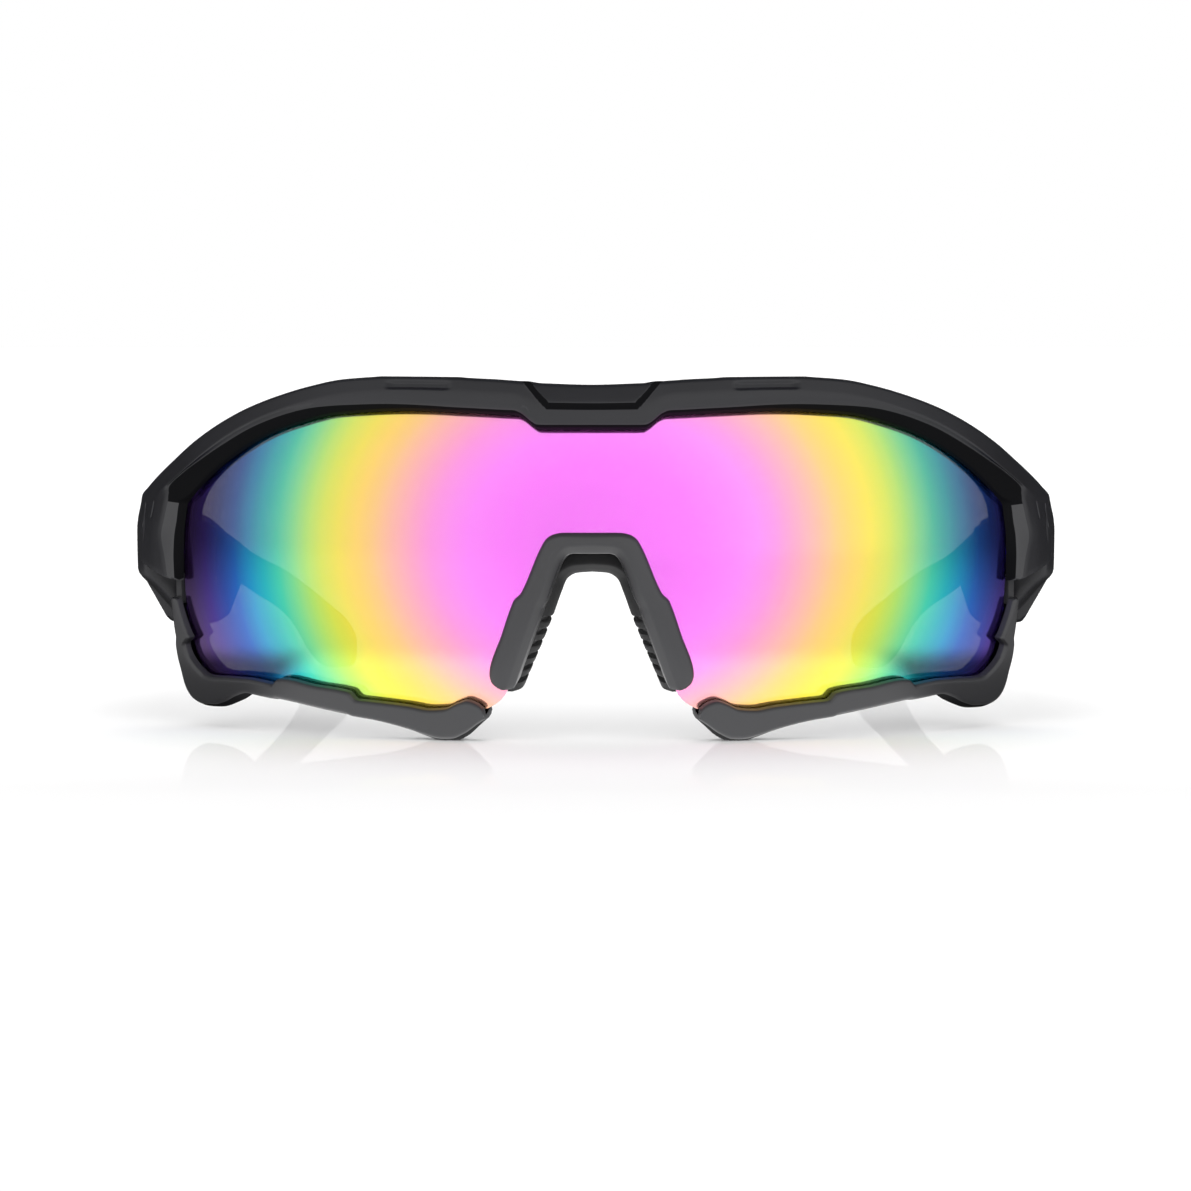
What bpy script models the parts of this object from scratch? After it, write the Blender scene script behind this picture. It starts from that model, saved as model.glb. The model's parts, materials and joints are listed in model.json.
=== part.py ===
"""Wraparound sport sunglasses with one shield lens, as an assembly of separate pieces.

Run with: blender --background --python part.py
Units in this file are millimetres, turned into Blender's metres where a mesh is made.
+Z is up, the front faces -Y, and the wearer's left is +X. The glasses stand on z = 0
on the two lower rims and the two ear tips, with the temples open.

The lens is a piece of one sphere. Everything that grips it is cut on concentric spheres,
so a place on the front is given by x and z on such a sphere, and by a height above the
lens's outer face (negative towards the wearer).
"""

import math

import bmesh
import bpy
import numpy as np
from mathutils import Matrix, Vector

MM = 0.001

# ---- driving dimensions ----------------------------------------------------------------
LENS_RADIUS = 84.0  # outer face of the lens
LENS_THICKNESS = 2.0
SPHERE_Y = 6.0  # the sphere's centre, straight behind the lens
SPHERE_Z = 27.0
FIT = 0.4  # free space between the lens and the grooves that hold it
GAP = 0.3  # free space between neighbouring pieces

LENS_DRAWN_ON = 2.0  # heights of the spheres on which the outlines below are drawn
BROW_DRAWN_ON = 2.8
RIM_DRAWN_ON = 1.8
NOSE_DRAWN_ON = 2.0
SADDLE_DRAWN_ON = -10.5

HINGE_X = 65.2
HINGE_Y = -31.0
KNUCKLE_RADIUS = 2.8
PIN_RADIUS = 0.8
PIN_HOLE_RADIUS = 1.1
SCREW_HEAD_RADIUS = 1.75
SCREW_HEAD_HEIGHT = 0.9
INSERT_RADIUS = 1.7  # threaded insert in the lower ear
EAR_LOW = (19.6, 22.8)  # z of the lower ear, the temple's knuckle and the upper ear
KNUCKLE = (23.5, 29.3)
EAR_HIGH = (30.0, 31.8)
WASHER_THICKNESS = 0.3
BLOCK_BACK_Y = -34.2  # where the frame's end block stops
TEMPLE_FRONT_Y = -33.7

TIP_START_Y = 32.0  # where the rubber ear tip takes over from the arm
TIP_CORE_END_Y = 63.0
CORE_SHARE = 0.5  # the arm's core inside the tip, as a share of its outer section

ROUND_STEPS = 24

# ---- outlines: (x, z) pairs for the wearer's left half ----------------------------------
# Brow bar: top edge, bottom edge, and how far it has turned from a bar into the end block.
BROW = [
    ((0.0, 56.0), (0.0, 49.2), 0.0),
    ((8.0, 56.25), (8.1, 49.2), 0.0),
    ((9.6, 56.5), (9.1, 49.6), 0.0),
    ((11.6, 56.7), (11.0, 51.4), 0.0),
    ((13.1, 56.8), (12.2, 51.7), 0.0),
    ((14.4, 56.9), (13.6, 51.8), 0.0),
    ((20.5, 57.35), (19.5, 52.1), 0.0),
    ((30.6, 57.5), (29.0, 52.4), 0.0),
    ((33.6, 57.55), (32.5, 52.3), 0.0),
    ((39.8, 56.85), (37.8, 51.9), 0.0),
    ((45.0, 55.75), (42.6, 51.3), 0.0),
    ((50.2, 54.2), (47.4, 50.0), 0.0),
    ((55.6, 52.1), (52.6, 48.0), 0.0),
    ((60.4, 49.55), (57.4, 45.3), 0.0),
    ((64.6, 46.7), (61.6, 42.1), 0.0),
    ((68.6, 43.4), (64.6, 39.3), 0.3),
    ((71.6, 40.85), (66.3, 37.4), 0.8),
    ((74.9, 37.2), (67.3, 36.2), 1.0),
    ((75.2, 34.2), (67.7, 33.5), 1.0),
    ((75.4, 31.2), (68.0, 30.8), 1.0),
    ((75.3, 28.0), (68.05, 27.5), 1.0),
    ((74.7, 25.0), (68.1, 23.5), 1.0),
    ((72.8, 22.6), (68.15, 21.6), 1.0),
]
PANEL_HALF_BASE = 8.1  # the raised trapezoid in the middle of the brow
PANEL_HALF_TOP = 13.1
PANEL_FLOOR = 0.43  # its lower edge, as a share of the bar's height
PANEL_CEILING = 0.66
PANEL_RAISE = 0.6
PANEL_BEVEL = 0.5

# Lens: top edge and bottom edge. The bottom edge holds the notch for the nose.
LENS = [
    ((0.0, 51.4), (0.0, 30.8)),
    ((3.8, 51.4), (3.5, 30.8)),
    ((5.2, 51.4), (4.5, 30.5)),
    ((6.4, 51.4), (5.3, 29.6)),
    ((8.1, 51.4), (8.4, 22.3)),
    ((9.5, 51.9), (10.95, 16.0)),
    ((11.2, 53.6), (13.1, 9.7)),
    ((12.6, 53.9), (13.4, 7.9)),
    ((14.2, 54.0), (14.5, 6.1)),
    ((16.8, 54.2), (16.8, 4.6)),
    ((20.0, 54.3), (20.0, 3.7)),
    ((25.0, 54.5), (25.0, 3.5)),
    ((30.0, 54.6), (30.0, 3.8)),
    ((36.0, 54.2), (36.0, 4.5)),
    ((42.0, 53.4), (42.0, 5.4)),
    ((48.0, 51.9), (48.0, 6.5)),
    ((54.0, 49.5), (54.0, 7.1)),
    ((59.0, 46.4), (58.5, 7.2)),
    ((63.0, 43.0), (62.4, 7.3)),
    ((65.8, 40.4), (64.7, 8.9)),
    ((67.4, 37.6), (66.1, 11.4)),
    ((68.1, 33.0), (67.1, 14.6)),
    ((68.3, 28.0), (67.9, 19.2)),
]
LENS_ROWS = 8

# Lower rim: outer edge and inner edge, from its tab under the end block to its inner end.
RIM = [
    ((69.6, 20.8), (68.3, 20.8)),
    ((69.6, 18.2), (67.6, 18.6)),
    ((69.3, 14.4), (65.9, 14.6)),
    ((69.2, 12.8), (66.6, 13.3)),
    ((69.0, 10.8), (66.2, 11.5)),
    ((68.6, 8.8), (65.3, 10.2)),
    ((67.7, 4.9), (64.2, 9.1)),
    ((66.3, 2.9), (63.2, 8.4)),
    ((64.5, 2.2), (62.2, 8.2)),
    ((62.2, 2.3), (61.0, 8.2)),
    ((60.0, 3.1), (59.4, 8.3)),
    ((57.9, 4.5), (57.6, 8.3)),
    ((56.1, 5.2), (56.0, 8.3)),
    ((54.0, 4.9), (53.8, 8.1)),
    ((51.6, 4.6), (51.3, 7.8)),
    ((51.1, 4.55), (50.6, 8.6)),
    ((49.4, 4.3), (49.4, 8.7)),
    ((44.8, 3.5), (44.6, 7.9)),
    ((39.5, 2.6), (38.6, 7.1)),
    ((38.3, 2.4), (37.4, 5.9)),
    ((34.8, 1.9), (34.7, 5.7)),
    ((29.2, 0.5), (29.1, 5.2)),
    ((26.6, -0.45), (25.8, 4.7)),
    ((24.3, -1.15), (23.3, 4.9)),
    ((22.4, -1.3), (21.3, 5.8)),
    ((20.2, -0.3), (19.7, 6.3)),
    ((18.0, 1.7), (18.1, 5.8)),
    ((16.7, 2.9), (17.1, 5.0)),
]
VENT = ((22.6, 32.2), (55.2, 56.6), (2.6, 4.4))  # x, z and heights of the hollow in the brow
RIM_TAB_SHARE = (0.15, 0.85)  # the tab on the rim's upper end, across the rim
RIM_TAB_HEIGHTS = (-2.9, 0.2)
RIM_TAB_RISE = 3.2

# Nose bridge: outer edge and inner edge, from the middle down to the wearer's left.
NOSE = [
    ((0.0, 33.1), (0.0, 29.8)),
    ((4.4, 33.1), (2.6, 29.8)),
    ((6.0, 32.8), (3.6, 29.6)),
    ((7.1, 32.1), (4.3, 29.0)),
    ((7.8, 31.0), (4.8, 28.2)),
    ((11.0, 23.8), (7.1, 22.2)),
    ((11.3, 23.3), (7.3, 21.8)),
    ((12.2, 22.5), (7.7, 21.0)),
    ((14.1, 17.1), (9.6, 15.6)),
    ((16.1, 10.6), (11.8, 9.5)),
    ((15.8, 9.4), (12.0, 8.9)),
    ((15.0, 8.6), (12.4, 8.2)),
]
NOSE_GROOVE_FLOOR = 0.2

# Rubber saddle: inner edge at its narrowest, from the middle down to the wearer's left.
SADDLE_THROAT = [(0.0, 26.4), (2.6, 26.2), (4.2, 25.3), (5.2, 23.1), (6.3, 19.4)]
SADDLE_END = (11.4, 7.4)
SADDLE_WALL = 3.0
RIB_COUNT = 6
RIB_HEIGHT = 0.8
RIB_SHARE = 0.6  # of each pitch that is rib
PEG_RADIUS = 0.7  # rubber pegs that hold the saddle in the back of the bridge
PEG_PLACES = [((11.0, 23.8), (7.1, 22.2)), ((14.1, 17.1), (9.6, 15.6))]
PEG_SHARE = 0.3

# Temple: y, inner face x, outer face x, bottom z, top z, and how far the section has
# turned from the tall hinge end (0) into the rounded arm (1).
TEMPLE = [
    (TEMPLE_FRONT_Y, 68.4, 75.4, 16.6, 35.0, 0.0),
    (-31.0, 68.4, 75.6, 16.2, 34.8, 0.0),
    (-28.6, 68.4, 75.6, 15.8, 34.6, 0.0),
    (-26.0, 66.4, 75.4, 15.4, 34.3, 0.0),
    (-18.0, 65.6, 74.4, 14.7, 33.4, 0.0),
    (-9.0, 64.9, 72.6, 14.1, 32.3, 0.15),
    (-3.0, 64.6, 71.3, 13.8, 31.5, 0.3),
    (4.0, 64.3, 70.2, 13.5, 30.5, 0.5),
    (14.0, 63.9, 69.0, 13.6, 29.0, 0.8),
    (22.0, 63.5, 68.0, 15.8, 27.7, 1.0),
    (TIP_START_Y, 63.1, 67.3, 18.4, 26.0, 1.0),
    (42.0, 62.5, 66.7, 17.9, 24.2, 1.0),
    (49.0, 61.6, 65.8, 16.5, 22.9, 1.0),
    (56.0, 60.1, 64.4, 14.7, 21.4, 1.0),
    (TIP_CORE_END_Y, 57.8, 62.2, 12.5, 19.6, 1.0),
    (69.0, 55.0, 59.6, 9.4, 17.0, 1.0),
    (72.0, 53.0, 57.6, 5.8, 15.2, 1.0),
    (74.0, 51.6, 56.2, 2.6, 13.8, 1.0),
    (76.6, 49.3, 53.8, -0.3, 11.6, 1.0),
    (78.6, 47.3, 51.6, -0.3, 9.3, 1.0),
    (79.8, 46.6, 50.4, -0.3, 7.0, 1.0),
    (80.2, 47.0, 49.6, 0.2, 5.0, 1.0),
]

# ---- sections: (share of the width, millimetres more, height above the lens) -------------
GROOVE_TOP = FIT
GROOVE_BOTTOM = -(LENS_THICKNESS + FIT)
BAR_SECTION = [
    (0.0, 0.0, GROOVE_TOP),
    (0.0, 0.0, 2.0),
    (0.0, 0.6, 2.8),
    (0.40, 0.0, 3.3),
    (0.48, 0.0, 3.35),
    (1.0, -0.9, 3.1),
    (1.0, 0.0, 2.1),
    (1.0, 0.2, -1.0),
    (1.0, -0.5, -3.4),
    (1.0, -1.3, -4.2),
    (0.0, 1.0, -4.2),
    (0.0, 0.3, -3.7),
    (0.0, 0.3, GROOVE_BOTTOM),
    (0.0, 2.9, GROOVE_BOTTOM),
    (0.0, 2.9, GROOVE_TOP),
]
BLOCK_SECTION = [
    (0.0, 0.0, GROOVE_TOP),
    (0.0, 0.0, 0.9),
    (0.0, 2.6, 2.8),
    (0.50, 0.0, 3.0),
    (0.56, 0.0, 3.0),
    (1.0, -0.9, 2.7),
    (1.0, 0.0, 1.8),
    (1.0, 0.0, -1.0),
    (1.0, -0.3, -3.4),
    (1.0, -1.3, -4.6),
    (0.0, 0.6, -4.6),
    (0.0, 0.0, -3.9),
    (0.0, 0.0, GROOVE_BOTTOM),
    (0.0, 2.2, GROOVE_BOTTOM),
    (0.0, 2.2, GROOVE_TOP),
]
PANEL_LOW, PANEL_HIGH, BAR_SHOULDER = 3, 4, 5  # places in the two sections above
RIM_SECTION = [
    (0.0, 0.0, -0.6),
    (0.2, 0.2, 1.5),
    (0.25, 0.4, 1.8),
    (1.0, -0.3, 1.8),
    (1.0, 0.0, 1.5),
    (1.0, 0.0, GROOVE_TOP),
    (0.15, 0.6, GROOVE_TOP),
    (0.15, 0.6, GROOVE_BOTTOM),
    (1.0, -0.2, GROOVE_BOTTOM),
    (1.0, -0.2, -3.6),
    (0.0, 0.6, -3.9),
    (0.0, 0.0, -3.2),
]
NOSE_SECTION = [
    (0.0, 0.0, 1.2),
    (0.0, 0.7, 2.1),
    (0.5, 0.0, 2.3),
    (1.0, -0.6, 2.1),
    (1.0, 0.0, 1.5),
    (1.0, 0.0, GROOVE_TOP),
    (NOSE_GROOVE_FLOOR, 0.0, GROOVE_TOP),
    (NOSE_GROOVE_FLOOR, 0.0, GROOVE_BOTTOM),
    (0.8, 0.0, GROOVE_BOTTOM),
    (0.8, 0.0, -4.0),
    (0.0, 0.0, -4.0),
]
SADDLE_SECTION = [
    (0.30, 0.0, -4.4),
    (0.0, 0.0, -8.0),
    (0.0, 0.0, -12.0),
    (0.35, 0.0, -14.6),
    (0.75, 0.0, -15.4),
    (1.15, 0.0, -14.2),
    (1.20, 0.0, -9.0),
    (1.10, 0.0, -4.4),
]
SADDLE_RIBBED = (1, 2)  # the points of that section that the ribs lift
# Temple sections: (0 inner to 1 outer, 0 bottom to 1 top).
HINGE_END_SECTION = [
    (0.0, 0.06),
    (0.1, 0.0),
    (0.3, 0.0),
    (0.95, 0.44),
    (1.0, 0.52),
    (1.0, 0.80),
    (0.92, 0.94),
    (0.74, 1.0),
    (0.1, 1.0),
    (0.0, 0.95),
]
ARM_SECTION = [
    (0.0, 0.25),
    (0.22, 0.02),
    (0.5, 0.0),
    (0.82, 0.06),
    (1.0, 0.3),
    (1.0, 0.72),
    (0.85, 0.94),
    (0.6, 1.0),
    (0.25, 0.98),
    (0.0, 0.78),
]

# ---- materials ---------------------------------------------------------------------------
MATERIALS = {
    "frame_black": ((0.040, 0.041, 0.044), 0.0, 0.42),
    "rubber_black": ((0.022, 0.022, 0.024), 0.0, 0.80),
    "mirror_lens": ((0.90, 0.42, 0.78), 0.8, 0.08),
    "steel": ((0.62, 0.62, 0.64), 1.0, 0.30),
    "brass": ((0.72, 0.55, 0.28), 1.0, 0.32),
    "nylon": ((0.75, 0.75, 0.73), 0.0, 0.50),
}


def material(name):
    found = bpy.data.materials.get(name)
    if found:
        return found
    colour, metallic, roughness = MATERIALS[name]
    made = bpy.data.materials.new(name)
    made.use_nodes = True
    shader = made.node_tree.nodes["Principled BSDF"]
    shader.inputs["Base Color"].default_value = (*colour, 1.0)
    shader.inputs["Metallic"].default_value = metallic
    shader.inputs["Roughness"].default_value = roughness
    return made


# ---- placing points ----------------------------------------------------------------------
def on_sphere(x, z, drawn_on, height):
    """The point `height` above the lens, in line with (x, z) on the sphere at `drawn_on`."""
    radius = LENS_RADIUS + drawn_on
    down = z - SPHERE_Z
    ahead = -math.sqrt(radius * radius - x * x - down * down)
    direction = Vector((x, ahead, down)) / radius
    return Vector((0.0, SPHERE_Y, SPHERE_Z)) + direction * (LENS_RADIUS + height)


def across(start, end, share, more):
    """The point at `share` of the way from start to end, and `more` millimetres further."""
    start, end = Vector(start), Vector(end)
    return start.lerp(end, share) + (end - start).normalized() * more


def shell_section(inner, outer, section, drawn_on):
    """One closed section between two edge points of a shell on the sphere."""
    points = []
    for share, more, height in section:
        place = across(inner, outer, share, more)
        points.append(on_sphere(place.x, place.y, drawn_on, height))
    return points


def mirrored(stations):
    """Stations given for x >= 0, carried on to the other half without repeating the middle."""
    flipped = [flip(station) for station in reversed(stations[1:])]
    return flipped + list(stations)


def flip(station):
    """A station's (x, z) pairs with x turned round. Plain numbers stay."""
    return tuple((-v[0], v[1]) if isinstance(v, tuple) else v for v in station)


# ---- making meshes -----------------------------------------------------------------------
def face_outward(made):
    """Turns every face of a closed bmesh outward."""
    bmesh.ops.recalc_face_normals(made, faces=made.faces)
    if made.calc_volume(signed=True) < 0:
        bmesh.ops.reverse_faces(made, faces=made.faces)
    return made


def loft(sections):
    """A closed body through equal closed sections, with flat ends."""
    made = bmesh.new()
    rings = [[made.verts.new(point) for point in section] for section in sections]
    count = len(rings[0])
    for ring, following in zip(rings, rings[1:]):
        for i in range(count):
            j = (i + 1) % count
            made.faces.new((ring[i], ring[j], following[j], following[i]))
    made.faces.new(rings[0])
    made.faces.new(list(reversed(rings[-1])))
    return face_outward(made)


def cylinder(centre, radius, low, high, steps=ROUND_STEPS):
    """A closed upright cylinder round (x, y), as a bmesh."""
    made = bmesh.new()
    at = Matrix.Translation((centre[0], centre[1], (low + high) / 2))
    bmesh.ops.create_cone(
        made,
        cap_ends=True,
        segments=steps,
        radius1=radius,
        radius2=radius,
        depth=high - low,
        matrix=at,
    )
    return made


def box(low, high):
    """A closed box between two corners, as a bmesh."""
    made = bmesh.new()
    size = Vector(high) - Vector(low)
    centre = (Vector(high) + Vector(low)) / 2
    at = Matrix.Translation(centre) @ Matrix.Diagonal((*size, 1.0))
    bmesh.ops.create_cube(made, size=1.0, matrix=at)
    return made


def peg(place, drawn_on, radius, low, high, steps=12):
    """A round bar along the sphere's radius at (x, z), between two heights."""
    centre = Vector((0.0, SPHERE_Y, SPHERE_Z))
    direction = (on_sphere(*place, drawn_on, 0.0) - centre).normalized()
    first = direction.cross(Vector((0.0, 0.0, 1.0))).normalized()
    second = direction.cross(first)
    sections = []
    for height in (low, high):
        middle = centre + direction * (LENS_RADIUS + height)
        ring = []
        for i in range(steps):
            angle = 2 * math.pi * i / steps
            ring.append(
                middle + (first * math.cos(angle) + second * math.sin(angle)) * radius
            )
        sections.append(ring)
    return loft(sections)


def saddle_pegs(radius, low, high):
    pegs = []
    for outer, inner in PEG_PLACES:
        place = across(inner, outer, PEG_SHARE, 0.0)
        for side in (1, -1):
            pegs.append(peg((side * place.x, place.y), NOSE_DRAWN_ON, radius, low, high))
    return pegs


def floor_cutter():
    """Everything under the floor, to leave flat feet."""
    return box((-90.0, -90.0, -9.0), (90.0, 90.0, 0.0))


def to_object(name, made, material_name):
    """Turns a bmesh in millimetres into a named object in metres."""
    bmesh.ops.scale(made, vec=(MM, MM, MM), verts=made.verts)
    mesh = bpy.data.meshes.new(name)
    made.to_mesh(mesh)
    made.free()
    mesh.shade_smooth()
    mesh.set_sharp_from_angle(angle=math.radians(32))
    result = bpy.data.objects.new(name, mesh)
    bpy.context.scene.collection.objects.link(result)
    mesh.materials.append(material(material_name))
    return result


def weld(mesh):
    """Joins corners that a Boolean left a micrometre apart."""
    made = bmesh.new()
    made.from_mesh(mesh)
    bmesh.ops.remove_doubles(made, verts=made.verts, dist=0.003 * MM)
    made.to_mesh(mesh)
    made.free()


def combine(target, tools, operation):
    """Adds or cuts the tool bmeshes on the target object, and applies the result."""
    for tool in tools:
        helper = to_object("tool", tool, "frame_black")
        modifier = target.modifiers.new("combine", "BOOLEAN")
        modifier.operation = operation
        modifier.solver = "EXACT"
        modifier.object = helper
        graph = bpy.context.evaluated_depsgraph_get()
        mesh = bpy.data.meshes.new_from_object(target.evaluated_get(graph))
        target.modifiers.clear()
        weld(mesh)
        old = target.data
        target.data = mesh
        mesh.name = target.name
        bpy.data.meshes.remove(old)
        bpy.data.objects.remove(helper)
    return target


def move_origin(target, x, y, z=0.0):
    """Puts the object's origin on a joint's axis without moving its surface."""
    place = Vector((x, y, z)) * MM
    target.data.transform(Matrix.Translation(-place))
    target.location = place
    return target


# ---- the front ---------------------------------------------------------------------------
def brow_section(top, bottom, turned):
    """The bar's section, blended into the end block's, with the raised panel in it."""
    points = [
        tuple(a + (b - a) * turned for a, b in zip(bar, block))
        for bar, block in zip(BAR_SECTION, BLOCK_SECTION)
    ]
    reach = abs(top[0])
    if reach <= PANEL_HALF_TOP + 0.1:
        climb = (reach - PANEL_HALF_BASE) / (PANEL_HALF_TOP - PANEL_HALF_BASE)
        climb = min(max(climb, 0.0), 1.0)
        edge = PANEL_FLOOR + (PANEL_CEILING - PANEL_FLOOR) * climb
        points[PANEL_LOW] = (edge, -PANEL_BEVEL, 3.2)
        points[PANEL_HIGH] = (edge, PANEL_BEVEL, 3.2 + PANEL_RAISE)
        share, more, height = points[BAR_SHOULDER]
        points[BAR_SHOULDER] = (share, more, height + PANEL_RAISE)
    return shell_section(bottom, top, points, BROW_DRAWN_ON)


def end_block(side):
    """The solid corner that carries the hinge: plan outlines stacked from bottom to top."""
    levels = [(18.4, 69.6), (21.6, 72.4), (25.0, 75.2), (31.4, 75.3), (35.0, 74.8), (37.0, 74.4)]
    sections = []
    for z, reach in levels:
        plan = [
            (reach - 1.6, -40.0),
            (reach, -36.4),
            (reach, BLOCK_BACK_Y),
            (62.6, BLOCK_BACK_Y),
            (62.6, -37.2),
            (66.2, -39.3),
            (reach - 3.2, -40.0),
        ]
        sections.append([Vector((side * x, y, z)) for x, y in plan])
    return loft(sections)


def hinge_ear(side, low, high):
    """One ear on the back of the end block, rounded about the hinge."""
    plan = [(HINGE_X + KNUCKLE_RADIUS, -36.0), (HINGE_X - KNUCKLE_RADIUS, -36.0)]
    steps = ROUND_STEPS // 2
    for i in range(steps + 1):
        angle = math.pi - math.pi * i / steps
        plan.append(
            (
                HINGE_X + KNUCKLE_RADIUS * math.cos(angle),
                HINGE_Y + KNUCKLE_RADIUS * math.sin(angle),
            )
        )
    return loft([[Vector((side * x, y, z)) for x, y in plan] for z in (low, high)])


def vent_hollow(side):
    """The shallow hollow under the bar's top edge."""
    (left, right), (bottom, top), (floor, above) = VENT
    sections = []
    for x, drop in ((left, 0.0), ((left + right) / 2, 0.05), (right, 0.0)):
        sections.append(
            [
                on_sphere(side * x, bottom - drop, BROW_DRAWN_ON, above),
                on_sphere(side * x, bottom + 0.3 - drop, BROW_DRAWN_ON, floor),
                on_sphere(side * x, top, BROW_DRAWN_ON, floor),
                on_sphere(side * x, top, BROW_DRAWN_ON, above),
            ]
        )
    return loft(sections)


def tab_corners(grow, rise):
    """The rim's tab as two four-point sections, grown by `grow` on every side."""
    (outer_low, inner_low) = RIM[0]
    sections = []
    for climb in (-1.0, rise + grow):
        section = []
        for share, height in (
            (RIM_TAB_SHARE[0], RIM_TAB_HEIGHTS[0]),
            (RIM_TAB_SHARE[0], RIM_TAB_HEIGHTS[1]),
            (RIM_TAB_SHARE[1], RIM_TAB_HEIGHTS[1]),
            (RIM_TAB_SHARE[1], RIM_TAB_HEIGHTS[0]),
        ):
            sign = 1 if share > 0.5 else -1
            lift = 1 if height > -1 else -1
            place = across(outer_low, inner_low, share, sign * grow)
            place.y += climb
            section.append(
                on_sphere(place.x, place.y, RIM_DRAWN_ON, height + lift * grow)
            )
        sections.append(section)
    return sections


def turned_round(sections, side):
    return [[Vector((side * p.x, p.y, p.z)) for p in section] for section in sections]


def make_brow():
    stations = [brow_section(*station) for station in mirrored(BROW)]
    brow = to_object("brow_frame", loft(stations), "frame_black")
    for side in (1, -1):
        combine(brow, [end_block(side)], "UNION")
        combine(brow, [hinge_ear(side, *EAR_LOW), hinge_ear(side, *EAR_HIGH)], "UNION")
        centre = (side * HINGE_X, HINGE_Y)
        hole = cylinder(centre, PIN_HOLE_RADIUS, EAR_LOW[0] - 1, EAR_HIGH[1] + 1)
        seat = cylinder(centre, INSERT_RADIUS + GAP, EAR_LOW[0] - 1, EAR_LOW[1] - 0.9)
        socket = loft(turned_round(tab_corners(GAP + 0.1, RIM_TAB_RISE), side))
        combine(brow, [hole, seat, socket, vent_hollow(side)], "DIFFERENCE")
    return brow


def make_lens():
    sections = []
    for top, bottom in mirrored(LENS):
        section = []
        for height, shares in (
            (0.0, np.linspace(0.0, 1.0, LENS_ROWS + 1)),
            (-LENS_THICKNESS, np.linspace(1.0, 0.0, LENS_ROWS + 1)),
        ):
            for share in shares:
                place = across(bottom, top, share, 0.0)
                section.append(on_sphere(place.x, place.y, LENS_DRAWN_ON, height))
        sections.append(section)
    return to_object("lens", loft(sections), "mirror_lens")


def make_rim(name, side):
    stations = RIM if side > 0 else [flip(station) for station in RIM]
    sections = [
        shell_section(outer, inner, RIM_SECTION, RIM_DRAWN_ON)
        for outer, inner in stations
    ]
    rim = to_object(name, loft(sections), "frame_black")
    combine(rim, [loft(turned_round(tab_corners(0.0, RIM_TAB_RISE), side))], "UNION")
    return combine(rim, [floor_cutter()], "DIFFERENCE")


# ---- the nose piece ----------------------------------------------------------------------
def make_nose_bridge():
    sections = [
        shell_section(inner, outer, NOSE_SECTION, NOSE_DRAWN_ON)
        for outer, inner in mirrored(NOSE)
    ]
    bridge = to_object("nose_bridge", loft(sections), "frame_black")
    return combine(bridge, saddle_pegs(PEG_RADIUS + GAP, -5.0, -2.2), "DIFFERENCE")


def saddle_stations():
    """(inner edge point, outward direction, rib height) from the middle down one side."""
    throat = [Vector(p) for p in SADDLE_THROAT]
    end = Vector(SADDLE_END)
    line = end - throat[-1]
    places = [(point, 0.0) for point in throat]
    valley = 0.08  # how fast a rib rises, as a share of the pitch
    for rib in range(RIB_COUNT):
        start = rib + 0.25
        for share, rise in (
            (start, 0.0),
            (start + valley, RIB_HEIGHT),
            (start + RIB_SHARE, RIB_HEIGHT),
            (start + RIB_SHARE + valley, 0.0),
        ):
            places.append((throat[-1] + line * (share / RIB_COUNT), rise))
    places.append((end, 0.0))
    stations = []
    for i, (point, rise) in enumerate(places):
        before = places[max(i - 1, 0)][0]
        after = places[min(i + 1, len(places) - 1)][0]
        along = (after - before).normalized()
        outward = Vector((-along.y, along.x)) if i else Vector((0.0, 1.0))
        stations.append((point, outward, rise))
    return stations


def saddle_section(point, outward, rise):
    inner = point + outward * RIB_HEIGHT
    outer = point + outward * SADDLE_WALL
    section = list(SADDLE_SECTION)
    for i in SADDLE_RIBBED:
        share, more, height = section[i]
        section[i] = (share, more - rise, height)
    return shell_section(inner, outer, section, SADDLE_DRAWN_ON)


def make_nose_saddle():
    half = [saddle_section(*station) for station in saddle_stations()]
    other = [[Vector((-p.x, p.y, p.z)) for p in section] for section in half[:0:-1]]
    saddle = to_object("nose_saddle", loft(other + half), "rubber_black")
    return combine(saddle, saddle_pegs(PEG_RADIUS, -6.0, -2.8), "UNION")


# ---- the temples -------------------------------------------------------------------------
def temple_section(station, side, share=1.0):
    """One upright section of the arm. `share` shrinks it about its middle."""
    y, inner, outer, low, high, turned = station
    points = []
    for hinge_end, arm in zip(HINGE_END_SECTION, ARM_SECTION):
        u = hinge_end[0] + (arm[0] - hinge_end[0]) * turned
        v = hinge_end[1] + (arm[1] - hinge_end[1]) * turned
        u = 0.5 + (u - 0.5) * share
        v = 0.5 + (v - 0.5) * share
        x = inner + (outer - inner) * u
        points.append(Vector((side * x, y, low + (high - low) * v)))
    return points


def knuckle_web(side):
    """The temple's middle knuckle: a round eye and the web that joins it to the arm."""
    plan = []
    steps = ROUND_STEPS
    start, sweep = math.radians(75), math.radians(210)
    for i in range(steps + 1):
        angle = start + sweep * i / steps
        plan.append(
            (
                HINGE_X + KNUCKLE_RADIUS * math.cos(angle),
                HINGE_Y + KNUCKLE_RADIUS * math.sin(angle),
            )
        )
    plan.append((70.5, TEMPLE_FRONT_Y + 0.6))
    plan.append((70.5, -25.0))
    plan.append((67.4, -25.0))
    low, high = KNUCKLE
    return loft([[Vector((side * x, y, z)) for x, y in plan] for z in (low, high)])


def core_sections(side, share, first, last):
    """The arm inside the tip, with its shoulder section at the tip's mouth."""
    chosen = [s for s in TEMPLE if first <= s[0] <= last]
    return [temple_section(station, side, share) for station in chosen]


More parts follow.
